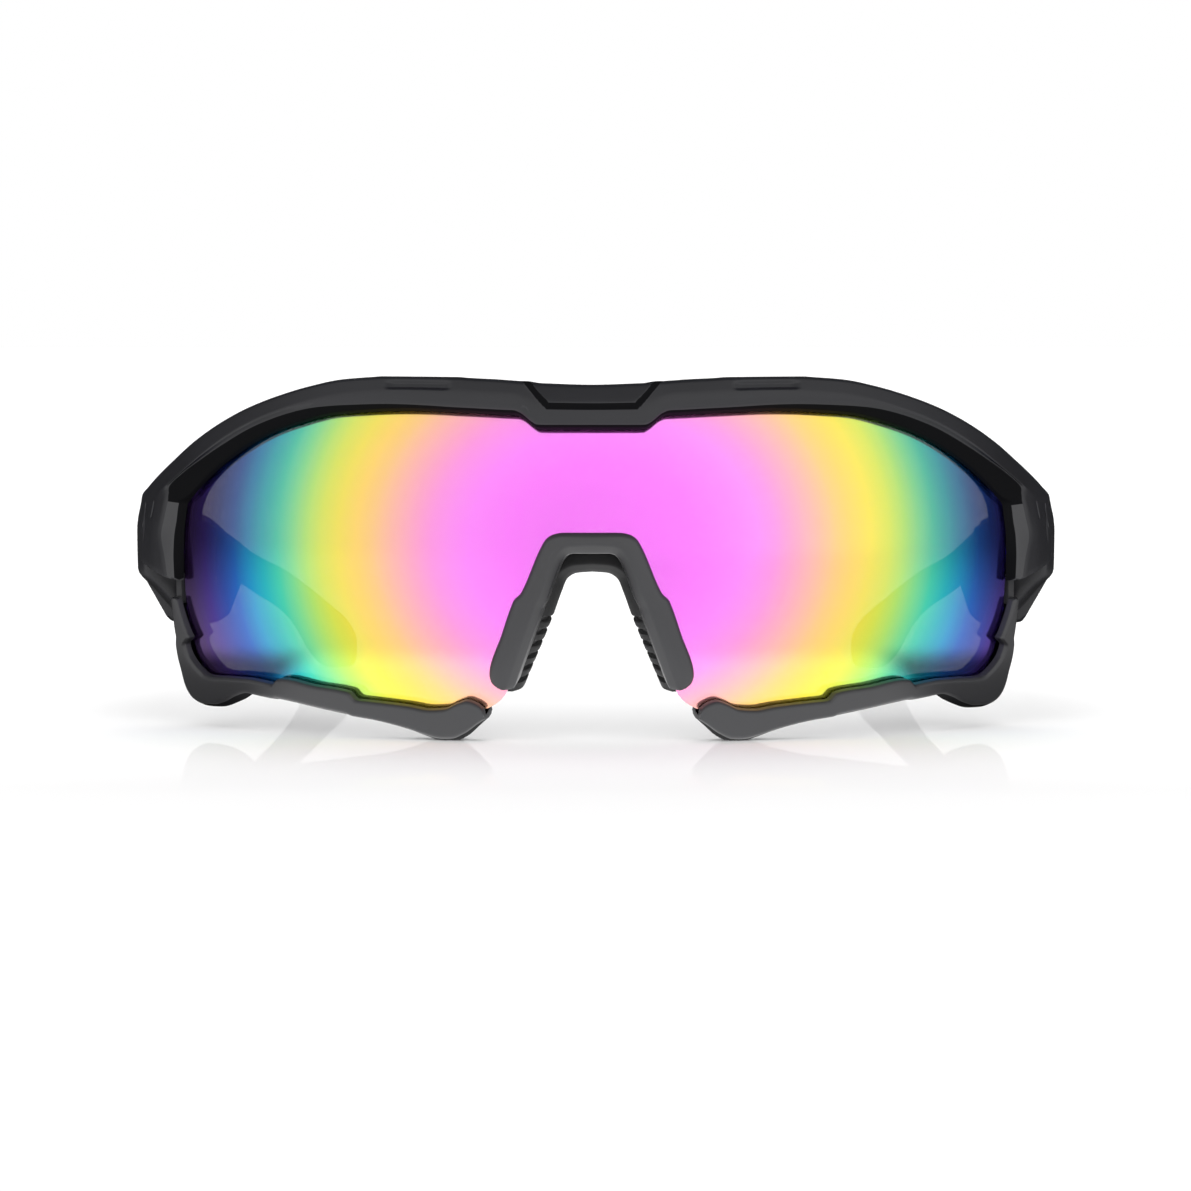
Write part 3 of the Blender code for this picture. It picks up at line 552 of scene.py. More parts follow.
class Nodes:
    """A material's node tree, with short ways to add and link nodes."""

    def __init__(self, name):
        self.material = bpy.data.materials.new(name)
        self.material.use_nodes = True
        self.tree = self.material.node_tree
        self.shader = self.tree.nodes["Principled BSDF"]
        self.output = self.tree.nodes["Material Output"]
        self.place = self.add("ShaderNodeTexCoord").outputs["Object"]

    def add(self, kind, **values):
        node = self.tree.nodes.new(kind)
        for key, value in values.items():
            setattr(node, key, value)
        return node

    def link(self, source, target):
        self.tree.links.new(source, target)

    def noise(self, scale, detail=2.0, rough=0.5, stretch=None):
        node = self.add("ShaderNodeTexNoise")
        node.inputs["Scale"].default_value = scale
        node.inputs["Detail"].default_value = detail
        node.inputs["Roughness"].default_value = rough
        source = self.place
        if stretch:
            mapping = self.add("ShaderNodeMapping")
            mapping.inputs["Scale"].default_value = stretch
            self.link(source, mapping.inputs["Vector"])
            source = mapping.outputs["Vector"]
        self.link(source, node.inputs["Vector"])
        return node.outputs["Fac"]

    def ramp(self, source, stops):
        node = self.add("ShaderNodeValToRGB")
        elements = node.color_ramp.elements
        while len(elements) < len(stops):
            elements.new(0.5)
        for element, (place, colour) in zip(elements, stops):
            element.position = place
            element.color = (*colour, 1.0) if len(colour) == 3 else colour
        self.link(source, node.inputs["Fac"])
        return node.outputs["Color"]

    def spread(self, source, low, high):
        """Maps 0..1 to low..high."""
        node = self.add("ShaderNodeMapRange")
        node.inputs["To Min"].default_value = low
        node.inputs["To Max"].default_value = high
        self.link(source, node.inputs["Value"])
        return node.outputs["Result"]

    def between(self, *values):
        return between(self.tree, *values)

    def math(self, operation, a, b=None):
        node = self.add("ShaderNodeMath", operation=operation)
        for socket, value in zip(node.inputs, (a, b)):
            if isinstance(value, (int, float)):
                socket.default_value = value
            elif value is not None:
                self.link(value, socket)
        return node.outputs["Value"]

    def bump(self, layers):
        """Chains bump nodes from (height, distance in metres, strength)."""
        normal = None
        for height, distance, strength in layers:
            node = self.add("ShaderNodeBump")
            node.inputs["Distance"].default_value = distance
            node.inputs["Strength"].default_value = strength
            self.link(height, node.inputs["Height"])
            if normal:
                self.link(normal, node.inputs["Normal"])
            normal = node.outputs["Normal"]
        return normal

    def set(self, **values):
        for key, value in values.items():
            socket = self.shader.inputs[key.replace("_", " ")]
            if isinstance(value, (int, float, tuple)):
                socket.default_value = value
            else:
                self.link(value, socket)


def moulded_plastic(name, lift, specular):
    """Matte charcoal nylon: fine spark-eroded grain, cloudy sheen, lighter on its sharpest edges.

    lift is painted light: how much lighter than the darkest moulding it is made, standing in for
    the light a part catches."""
    n = Nodes(name)
    cloud = n.noise(70.0, 3.0)
    grain = n.noise(5200.0, 2.0, 0.6)
    flow = n.noise(900.0, 3.0, 0.6)
    dark, light = (0.0080, 0.0081, 0.0110), (0.0110, 0.0111, 0.0148)
    dark, light = (tuple(v + lift for v in colour) for colour in (dark, light))
    base = n.ramp(cloud, [(0.3, dark), (0.7, light)])
    edge = n.ramp(
        n.add("ShaderNodeNewGeometry").outputs["Pointiness"],
        [(0.50, (0.0, 0.0, 0.0)), (0.58, (1.0, 1.0, 1.0))],
    )
    mix = n.add("ShaderNodeMix", data_type="RGBA")
    n.link(n.math("MULTIPLY", edge, 0.35), mix.inputs["Factor"])
    n.link(base, mix.inputs["A"])
    mix.inputs["B"].default_value = (0.034, 0.035, 0.040, 1.0)
    rough = n.math("ADD", n.spread(cloud, 0.36, 0.44), n.spread(flow, -0.03, 0.03))
    n.set(
        Base_Color=mix.outputs["Result"],
        Roughness=rough,
        Specular_IOR_Level=specular,
        Normal=n.bump([(flow, 0.00002, 0.25), (grain, 0.000012, 0.5)]),
    )
    return n.material


def painted_shade_plastic():
    """The same nylon painted near-black, rougher and with its reflection turned down: painted
    shade on what faces the lens, in the lens grooves, round the rims' outer edges and on the
    panel's sloping edge.
    """
    n = Nodes("painted_shade_charcoal_plastic")
    cloud = n.noise(120.0, 3.0)
    grain = n.noise(4200.0, 2.0, 0.6)
    dark, light = (0.0028, 0.0029, 0.0036), (0.0042, 0.0043, 0.0052)
    n.set(
        Base_Color=n.ramp(cloud, [(0.3, dark), (0.7, light)]),
        Roughness=n.spread(cloud, 0.66, 0.80),
        Specular_IOR_Level=0.08,
        Normal=n.bump([(grain, 0.000015, 0.5)]),
    )
    return n.material


def soft_rubber():
    """Black elastomer: powdery, dull, with a fine pebble."""
    n = Nodes("black_rubber")
    cloud = n.noise(90.0, 3.0)
    pebble = n.noise(3600.0, 2.0, 0.55)
    base = n.ramp(cloud, [(0.30, (0.0070, 0.0070, 0.0078)), (0.72, (0.0120, 0.0120, 0.0128))])
    n.set(
        Base_Color=base,
        Roughness=n.spread(cloud, 0.62, 0.78),
        Specular_IOR_Level=0.32,
        Sheen_Weight=0.06,
        Sheen_Roughness=0.5,
        Normal=n.bump([(pebble, 0.00003, 0.55)]),
    )
    return n.material


def metal(name, dark, light, roughness, stretch):
    """Turned metal: fine circumferential tool marks and uneven brightness."""
    n = Nodes(name)
    marks = n.noise(2600.0, 4.0, 0.6, stretch)
    cloud = n.noise(500.0, 2.0)
    n.set(
        Base_Color=n.ramp(cloud, [(0.3, dark), (0.7, light)]),
        Metallic=1.0,
        Roughness=n.spread(marks, roughness - 0.08, roughness + 0.1),
        Anisotropic=0.4,
        Normal=n.bump([(marks, 0.000008, 0.5)]),
    )
    return n.material


def nylon():
    n = Nodes("natural_nylon")
    cloud = n.noise(800.0, 3.0)
    n.set(
        Base_Color=n.ramp(cloud, [(0.3, (0.62, 0.61, 0.57)), (0.7, (0.72, 0.71, 0.67))]),
        Roughness=n.spread(cloud, 0.42, 0.55),
        Subsurface_Weight=0.15,
        Subsurface_Radius=(0.0006, 0.0005, 0.0004),
        Normal=n.bump([(n.noise(4000.0), 0.00001, 0.4)]),
    )
    return n.material


# The coating's colour by distance from the middle of its rings, in millimetres.
RING_MIDDLE = (1.9, 31.0)
RING_SQUEEZE = 1.15  # the rings are that much narrower upright than across
RING_REACH = 72.0
COATING = [
    (0.0, (0.880, 0.145, 0.880)),
    (9.0, (0.898, 0.149, 0.901)),
    (15.0, (0.963, 0.165, 0.953)),
    (21.0, (0.995, 0.211, 0.970)),
    (24.0, (0.995, 0.246, 0.890)),
    (27.0, (0.995, 0.283, 0.751)),
    (29.5, (0.995, 0.345, 0.587)),
    (31.5, (0.995, 0.408, 0.474)),
    (34.0, (0.995, 0.489, 0.339)),
    (36.5, (0.995, 0.579, 0.198)),
    (39.0, (0.995, 0.647, 0.110)),
    (42.0, (0.896, 0.734, 0.058)),
    (45.0, (0.684, 0.771, 0.075)),
    (47.5, (0.442, 0.771, 0.146)),
    (50.0, (0.213, 0.726, 0.285)),
    (52.5, (0.054, 0.629, 0.428)),
    (55.0, (0.012, 0.490, 0.547)),
    (57.5, (0.005, 0.327, 0.643)),
    (60.0, (0.008, 0.139, 0.583)),
    (62.0, (0.022, 0.080, 0.460)),
    (65.0, (0.070, 0.030, 0.320)),
    (68.0, (0.085, 0.035, 0.170)),
]


def mirror_coating():
    """The lens's outer face: an interference mirror in rings, over smoky polycarbonate."""
    n = Nodes("mirror_coating")
    split = n.add("ShaderNodeSeparateXYZ")
    n.link(n.place, split.inputs["Vector"])
    wave = n.spread(n.noise(28.0, 2.0), -0.0006, 0.0006)
    dx = n.math("SUBTRACT", split.outputs["X"], RING_MIDDLE[0] * MM)
    dz = n.math("SUBTRACT", split.outputs["Z"], RING_MIDDLE[1] * MM)
    dz = n.math("MULTIPLY", dz, RING_SQUEEZE)
    square = n.math("ADD", n.math("MULTIPLY", dx, dx), n.math("MULTIPLY", dz, dz))
    reach = n.math("ADD", n.math("SQRT", square), wave)
    place = n.math("DIVIDE", reach, RING_REACH * MM)
    colour = n.ramp(place, [(r / RING_REACH, c) for r, c in COATING])
    n.set(
        Base_Color=colour,
        Metallic=0.9,
        Roughness=n.spread(n.noise(160.0, 3.0), 0.10, 0.15),
        Coat_Weight=0.25,
        Coat_Roughness=0.04,
        Normal=n.bump([(n.noise(45.0, 2.0), 0.00004, 0.12)]),
    )
    see_through(n, 0.16, (0.95, 0.95, 0.95))
    return n.material


def smoke_face():
    """The lens's inner face: dark, glossy, partly see-through polycarbonate."""
    n = Nodes("smoked_polycarbonate")
    cloud = n.noise(60.0, 2.0)
    n.set(
        Base_Color=n.ramp(cloud, [(0.3, (0.016, 0.014, 0.020)), (0.7, (0.024, 0.020, 0.030))]),
        Roughness=n.spread(cloud, 0.04, 0.09),
        Normal=n.bump([(n.noise(45.0, 2.0), 0.00004, 0.12)]),
    )
    see_through(n, 0.36, (0.95, 0.93, 0.97))
    return n.material


def see_through(n, share, tint):
    clear = n.add("ShaderNodeBsdfTransparent")
    clear.inputs["Color"].default_value = (*tint, 1.0)
    mix = n.add("ShaderNodeMixShader")
    mix.inputs["Fac"].default_value = share
    n.link(n.shader.outputs["BSDF"], mix.inputs[1])
    n.link(clear.outputs["BSDF"], mix.inputs[2])
    n.link(mix.outputs["Shader"], n.output.inputs["Surface"])


PLASTIC = moulded_plastic("charcoal_plastic", 0.0, 0.5)
# Painted light: a lighter, slightly glossier copy of the nylon for the rims, the nose bridge and
# the end block's facets, which catch more light.
PAINTED_LIGHT_PLASTIC = moulded_plastic("painted_light_charcoal_plastic", 0.019, 0.6)
# Painted shade: a near-black, rough, dull copy of the nylon for faces toward the lens, grooves,
# rim edges and the panel's slope.
PAINTED_SHADE_PLASTIC = painted_shade_plastic()
RUBBER = soft_rubber()
STEEL = metal("turned_steel", (0.46, 0.46, 0.48), (0.62, 0.62, 0.64), 0.30, (1, 1, 6))
BRASS = metal("turned_brass", (0.58, 0.42, 0.18), (0.74, 0.56, 0.28), 0.30, (1, 1, 6))
NYLON = nylon()
COATED = mirror_coating()
SMOKE = smoke_face()


# ---- the brow frame --------------------------------------------------------------------------
PANEL_BASE, PANEL_TOP = 7.1, 11.3  # half widths of the raised trapezoid
PANEL_FLOOR = 0.36  # its lower edge, as a share of the bar's height
PANEL_RAISE = (0.85, 0.35)  # at its lower edge and at the top
PANEL_BEVEL = 0.85  # how wide its sloping edge is
PANEL_SLANT = 0.62  # from a distance along x to one square to its slanted ends
VENT = (22.0, 32.4)
VENT_SHARES = (0.50, 0.84)
VENT_DEPTH = 0.4
VENT_EASE = (1.2, 0.12)  # how softly its ends and its long sides go down
PANEL_REACH = 14.5  # how far from the middle the bar's rings stand close together
BAR_SPACING = (0.13, 0.5)  # ring to ring, within that reach and beyond it


def into_panel(x, share, width):
    """How far inside the trapezoid's outer edge a place is, in millimetres."""
    climb = (share - PANEL_FLOOR) / (1 - PANEL_FLOOR)
    limit = PANEL_BASE + (PANEL_TOP - PANEL_BASE) * min(max(climb, -0.2), 1.0)
    return min((limit - abs(x)) * PANEL_SLANT, (share - PANEL_FLOOR) * width)


def brow_relief(x, share, width, corner):
    """The raised trapezoid in the middle, and the shallow hollows on either side."""
    if not BAR_FRONT[0] <= corner <= BAR_FRONT[1]:
        return 0.0
    inside = into_panel(x, share, width) / PANEL_BEVEL
    foot, head = PANEL_RAISE
    climb = min(max((share - PANEL_FLOOR) / (1 - PANEL_FLOOR), 0.0), 1.0)
    raised = (foot + (head - foot) * climb) * min(max(inside, 0.0), 1.0)
    reach, (low, high) = abs(x), VENT
    ends, sides = VENT_EASE
    sunk = ease((reach - low) / ends) * ease((high - reach) / ends)
    sunk *= ease((share - VENT_SHARES[0]) / sides) * ease((VENT_SHARES[1] - share) / sides)
    return raised - VENT_DEPTH * sunk


def brow_tint(x, share, width, corner, z):
    """1, the nylon painted dark as shade, on the trapezoid's slope and facing the lens; 2, the
    lighter copy painted as light caught, on the facets.
    """
    if corner >= BAR_WALL[0] or corner < (BAR_WALL[1] if z > BLOCK_BELOW else 0.9):
        return 1
    if corner < BAR_WALL[1]:
        return 2
    if BAR_FRONT[0] <= corner <= BAR_FRONT[1]:
        return int(0.0 < into_panel(x, share, width) < PANEL_BEVEL)
    return 0


def brow_bar():
    stations = []
    for top, bottom, turned in mirrored(BROW):
        reach = abs(bottom[0])
        slope, wall, height, lip = (
            float(np.interp(reach, [row[0] for row in EDGE], [row[k] for row in EDGE]))
            for k in (1, 2, 3, 4)
        )
        section = []  # its first three corners are the lower edge, and 9 to 11 the lip
        for k, (bar, block) in enumerate(zip(BAR, BLOCK)):
            share, more, rise, radius = (a + (b - a) * turned for a, b in zip(bar, block))
            if k in (0, 1):
                more, rise = (wall, height) if k else (min(wall, 0.5), rise)
            elif k == 2:
                more = slope
            elif k in (9, 10, 11):
                more += lip
            section.append((share, more, rise, radius))
        stations.append((bottom, top, section))
    length = sum((Vector(a[0]) - Vector(b[0])).length for a, b in zip(BROW, BROW[1:]))

    def spacing(place):
        return BAR_SPACING[abs(place - length) >= PANEL_REACH]

    return shell(stations, BROW_ON, BAR_SPLITS, spacing, 0.3, brow_relief, brow_tint)


BLOCK_LEVELS = [  # z, outer x, inner x
    (18.4, 69.6, 62.6),
    (21.6, 72.4, 62.6),
    (25.0, 75.2, 62.6),
    (31.4, 75.3, 62.6),
    (33.6, 75.1, 65.2),
    (35.0, 74.8, 66.0),
    (37.0, 74.4, 66.8),
]
SCORES = [(72.2, 33.6, 36.4, 2.97), (73.9, 32.0, 36.0, 2.85)]  # x, low z, high z, face height
SCORE_LEAN = -0.6  # their tops stand that much nearer the middle
SCORE_HALF = 0.13  # half their width
EAR_LOW, KNUCKLE, EAR_HIGH = (19.6, 22.8), (23.5, 29.3), (30.0, 31.8)
KNUCKLE_RADIUS = 2.8
HOLE_RADIUS = 1.1
EAR_LENGTH = 4.6  # from the pin to the ear's foot inside the block
ROUND_POINTS = 48  # in outlines round the pin


def end_block(side):
    """The corner behind the bar that carries the hinge."""
    places = [level[0] for level in BLOCK_LEVELS]
    widths = [level[1:] for level in BLOCK_LEVELS]
    wanted = finer(places, 0.8)
    rings = []
    for z, (reach, inner) in zip(wanted, smooth(places, widths, wanted)):
        plan = [
            (reach - 1.6, -40.0, 0.8),
            (reach, -36.4, 1.2),
            (reach, -34.2, 0.35),
            (inner, -34.2, 0.4),
            (inner, -37.2, 0.8),
            (max(66.2, inner + 1.0), -39.3, 0.6),
            (reach - 3.2, -40.0, 0.8),
        ]
        points, _ = rounded(plan, [2, 2, 6, 2, 2, 2, 1])
        rings.append([Vector((side * p.x, p.y, z)) for p in points])
    return skin(rings, 0.25)


def pierced(outer, inner, low, high, side, bevel=0.25, rim=0.15):
    """An upright plate between two closed outlines of equal count, with bevelled rims."""
    loop = []
    for outline, z, grow in (
        (outer, low, -bevel),
        (outer, low + bevel, 0.0),
        (outer, high - bevel, 0.0),
        (outer, high, -bevel),
        (inner, high, rim),
        (inner, high - rim, 0.0),
        (inner, low + rim, 0.0),
        (inner, low, rim),
    ):
        ring = []
        for x, y in outline:
            away = Vector((x - HINGE.x, y - HINGE.y))
            moved = away + away.normalized() * grow
            ring.append(Vector((side * (HINGE.x + moved.x), HINGE.y + moved.y, z)))
        loop.append(ring)
    return skin(loop, closed=True)


def ear_outline(count=ROUND_POINTS):
    """The ear's round end and straight sides, at even angles about the pin."""
    outline = []
    for i in range(count):
        angle = 2 * math.pi * i / count
        dx, dy = math.cos(angle), math.sin(angle)
        reach = KNUCKLE_RADIUS
        if dy < 0:
            reach = min(KNUCKLE_RADIUS / max(abs(dx), 1e-6), EAR_LENGTH / abs(dy))
        outline.append((HINGE.x + reach * dx, HINGE.y + reach * dy))
    return outline


def circle(radius, count=ROUND_POINTS):
    turns = [2 * math.pi * i / count for i in range(count)]
    return [(HINGE.x + radius * math.cos(t), HINGE.y + radius * math.sin(t)) for t in turns]


def score_lines(side):
    """Two slim ridges on the end block's face."""
    ridges = []
    for x, low, high, face in SCORES:
        rings = []
        for i in range(9):
            t = i / 8
            z = low + (high - low) * t
            lean = SCORE_LEAN * t
            half = SCORE_HALF * math.sqrt(max(1 - (2 * t - 1) ** 6, 0.02))
            ring = []
            for du, dh in ((-half, -0.2), (-half, 0.06), (0.0, 0.14), (half, 0.06), (half, -0.2)):
                ring.append(on_sphere(side * (x + lean + du), z, BROW_ON, face + dh))
            rings.append(ring)
        ridges.append(skin(rings))
    return ridges


def make_brow():
    parts = [brow_bar()]
    for side in (1, -1):
        parts.append(end_block(side))
        parts += score_lines(side)
        for low, high in (EAR_LOW, EAR_HIGH):
            parts.append(pierced(ear_outline(), circle(HOLE_RADIUS), low, high, side))
    # Material 1 is painted shade, and material 2 is painted light on the facets.
    brow = to_object("brow_frame_shell", parts, [PLASTIC, PAINTED_SHADE_PLASTIC, PAINTED_LIGHT_PLASTIC])
    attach(brow, "front")
    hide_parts("brow_frame")


# ---- the lens --------------------------------------------------------------------------------
LENS_SECTION = [
    (0.0, 0.0, 0.0, 0.35),
    (1.0, 0.0, 0.0, 0.35),
    (1.0, 0.0, -2.0, 0.35),
    (0.0, 0.0, -2.0, 0.35),
]
SMOKE_DEPTH = 1.9  # faces that far in, or further, are the lens's inner face


def make_lens():
    stations = [(bottom, top, LENS_SECTION) for top, bottom in mirrored(LENS)]
    body = shell(stations, LENS_ON, [30, 1, 30, 1], 0.9, 0.3)
    lens = to_object("shield_lens", [body], [COATED, SMOKE], 50)
    middle = CENTRE * MM
    inner_face = (LENS_RADIUS - SMOKE_DEPTH) * MM
    for face in lens.data.polygons:
        if (face.center - middle).length < inner_face:
            face.material_index = 1
    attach(lens, "shield")
    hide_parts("lens")


# ---- lower rims ------------------------------------------------------------------------------
def rim_tab(side):
    """The tab on the rim's upper end, which plugs into the end block."""
    outer, inner = RIM[0]
    rings = []
    for climb in (-1.0, 0.5, 1.8, 3.2):
        section = []
        for share, height in ((0.15, -2.9), (0.15, 0.2), (0.85, 0.2), (0.85, -2.9)):
            place = across(outer, inner, share, 0.0)
            section.append(on_sphere(side * place.x, place.y + climb, RIM_ON, height))
        rings.append(section)
    return skin(rings, 0.2)


def rim_tint(x, share, width, corner, z):
    """Index 1, the painted shade, in the lens groove and round the rim's outer edge."""
    return int(4 < corner < 7 or corner < 0.9 or corner > 10.5)


def make_rim(word, side):
    stations = []
    for station in RIM:
        outer, inner = station if side > 0 else flip(station)
        stations.append((outer, inner, RIM_SECTION))
    body = shell(stations, RIM_ON, RIM_SPLITS, 0.35, 0.3, tint=rim_tint)
    for vertex in body.verts:
        vertex.co.z = max(vertex.co.z, 0.0)
    # Material 0 is the plastic painted lighter as light caught, and material 1 is painted shade.
    rim = to_object(f"{word}_rim_shell", [body, rim_tab(side)], [PAINTED_LIGHT_PLASTIC, PAINTED_SHADE_PLASTIC])
    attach(rim, f"{word}_rim")
    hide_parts(f"{word}_lower_rim")


# ---- nose piece ------------------------------------------------------------------------------
def nose_tint(x, share, width, corner, z):
    """Index 1, the painted shade, in the lens groove."""
    return int(4 < corner < 8)


def make_nose_bridge():
    stations = [(inner, outer, NOSE_SECTION) for outer, inner in mirrored(NOSE)]
    body = shell(stations, NOSE_ON, NOSE_SPLITS, 0.35, 0.45, tint=nose_tint)
    # Material 0 is the plastic painted lighter as light caught, and material 1 is painted shade.
    bridge = to_object("nose_bridge_shell", [body], [PAINTED_LIGHT_PLASTIC, PAINTED_SHADE_PLASTIC])
    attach(bridge, "nose_piece")
    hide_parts("nose_bridge")


def rib_rise(run):
    """How far the ribbed side stands at a place measured in pitches down the leg."""
    if run < -0.3 or run > RIB_COUNT - 0.3:
        return RIB_HEIGHT
    from_valley = abs((run + 0.4) % 1.0 - 0.5)
    return RIB_HEIGHT * (1 - VALLEY_DEPTH * ease((VALLEY_HALF - from_valley) / VALLEY_SIDE))


def make_nose_saddle():
    places = [0.0]
    throat = [Vector(p) for p in (*THROAT, SADDLE_END)]
    for a, b in zip(throat, throat[1:]):
        places.append(places[-1] + (b - a).length)
    wanted = finer(places, 0.16)
    line = smooth(places, [list(p) for p in throat], wanted)
    leg = (throat[-1] - throat[-2]).length
    half = []
    for i, s in enumerate(wanted):
        a, b = line[max(i - 1, 0)], line[min(i + 1, len(line) - 1)]
        along = Vector((b[0] - a[0], b[1] - a[1])).normalized()
        out = Vector((-along.y, along.x)) if i else Vector((0.0, 1.0))
        point = Vector(line[i])
        inner, outer = point + out * RIB_HEIGHT, point + out * SADDLE_WALL
        rise = rib_rise((s - places[-2]) / leg * RIB_COUNT)
        width = (outer - inner).length
        corners = []
        for k, (share, more, height, radius) in enumerate(SADDLE_SECTION):
            lift = rise if k in (1, 2) else 0.0
            corners.append((share * width + more - lift, height, radius))
        section, _ = rounded(corners, SADDLE_SPLITS)
        direction = (outer - inner).normalized()
        ring = []
        for p in section:
            place = inner + direction * p.x
            ring.append(on_sphere(place.x, place.y, SADDLE_ON, p.y))
        half.append(ring)
    other = [[Vector((-p.x, p.y, p.z)) for p in ring] for ring in half[:0:-1]]
    saddle = to_object("nose_saddle_rubber", [skin(other + half, 0.35)], [RUBBER])
    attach(saddle, "nose_piece")
    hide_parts("nose_saddle")


# ---- temples ---------------------------------------------------------------------------------
def temple_rings(side, first, last, spacing):
    table = np.array([row[1:] for row in TEMPLE])
    places = [row[0] for row in TEMPLE]
    inside = [y for y in places if first <= y <= last]
    if inside[0] > first:
        inside.insert(0, first)
    wanted = finer(inside, spacing)
    rings = []
    for y, row in zip(wanted, smooth(places, table, wanted)):
        inner, outer, low, high, turned = row
        corners = []
        for hinge_end, arm in zip(HINGE_END, ARM):
            u, v, radius = [a + (b - a) * turned for a, b in zip(hinge_end, arm)]
            corners.append((inner + (outer - inner) * u, low + (high - low) * v, radius))
        points, _ = rounded(corners, ARM_SPLITS)
        rings.append([Vector((side * p.x, y, p.y)) for p in points])
    return rings


def knuckle(side):
    outline = circle(KNUCKLE_RADIUS)
    plate = pierced(outline, circle(HOLE_RADIUS), *KNUCKLE, side)
    web = []
    low, high = KNUCKLE
    for z, inset in ((low + 0.02, 0.28), (low + 0.3, 0.0), (high - 0.3, 0.0), (high - 0.02, 0.28)):
        plan = [
            (HINGE.x + 1.3, HINGE.y - 2.3 + inset),
            (70.5, -33.1 + inset),
            (70.5, -25.0 - inset),
            (67.4 + inset, -25.0 - inset),
            (HINGE.x + 0.8 + inset, HINGE.y + 2.6),
            (HINGE.x + 1.5, HINGE.y),
        ]
        web.append(ring_xy(plan, z, side))
    return [plate, skin(web)]


def make_temple(word, side):
    body = skin(temple_rings(side, TEMPLE[0][0], TIP_START_Y, 0.9), 0.35)
    temple = to_object(f"{word}_temple_arm", [body, *knuckle(side)], [PLASTIC])
    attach(temple, f"{word}_arm")
    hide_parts(f"{word}_temple")
    sock = skin(temple_rings(side, TIP_START_Y + TIP_GAP, TEMPLE[-1][0], 0.6), 0.3)
    for vertex in sock.verts:
        vertex.co.z = max(vertex.co.z, 0.0)
    tip = to_object(f"{word}_tip_rubber", [sock], [RUBBER])
    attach(tip, f"{word}_arm")
    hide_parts(f"{word}_ear_tip")


# ---- hinge hardware keeps its CAD shape ------------------------------------------------------
def finish_hardware():
    for word in ("left", "right"):
        for node, material in (
            (f"{word}_hinge_screw", STEEL),
            (f"{word}_hinge_insert", BRASS),
            (f"{word}_hinge_washer_low", NYLON),
            (f"{word}_hinge_washer_high", NYLON),
        ):
            part = frame["nodes"][node]
            part.data.materials.clear()
            part.data.materials.append(material)
            bevel = part.modifiers.new("soft_edges", "BEVEL")
            bevel.width = 0.06 * MM
            bevel.segments = 2
            bevel.limit_method = "ANGLE"
            bevel.angle_limit = math.radians(40)
            bevel.harden_normals = True


# ---- the set ---------------------------------------------------------------------------------
FLOOR_ALBEDO = (0.82, 1.0)  # ahead of the object, and beside and behind it
FLOOR_TURN = (-0.150, -0.085)  # the y between which the one becomes the other
FLOOR_GLOSS = 0.17
FLOOR_ROUGHNESS = 0.02
FLOOR_FADE = (0.080, 0.160)  # metres from the middle over which the floor's gloss ends
FLOOR_STRETCH = 0.35  # that measure goes slower to the sides by this factor
FLOOR_FILL = 0.35  # how brightly the floor lights matte surfaces
FRONT_LEVEL = 1.18
FRONT_LEAN = (0.95, 1.10)  # the front's brightness at the camera's left and right
LEAN_ENDS = (-0.6, 0.6)  # where it has got there, as a direction's x
SIDE_LEVEL = 0.06
FRONT_ENDS = (-0.45, 0.35)  # where front becomes side, as a direction's y
NEAR_ENDS = (-0.72, -0.62)  # the same close to the object, where the sides fall off sooner
NEAR_GAIN = (1.35, 0.12)
NEAR_FADE = (0.100, 0.118)  # metres from the middle over which close becomes far
TOP_LEVEL = 0.08
TOP_ENDS = (0.60, 0.85)  # where the room becomes its ceiling, as a direction's z
REAR_LEVEL = 1.0
REAR_ENDS = (0.95, 0.985)  # where a bright patch straight behind starts and is whole
AMBIENT = (0.28, 1.85)  # what matte surfaces get from beside and above, and from ahead and behind
AMBIENT_ENDS = (0.15, 0.65)  # where the one becomes the other, as a direction's y
SUN = 0.6
CAMERA_ASIDE = 0.011
CAMERA_AHEAD = 0.740  # from the foremost point of the lens
CAMERA_UP = 0.069
CAMERA_TILT = 3.54  # degrees down
CAMERA_LENS = 144.27
AIM_REACH = 0.785  # how far off it is turned back to the middle, which keeps both ends level


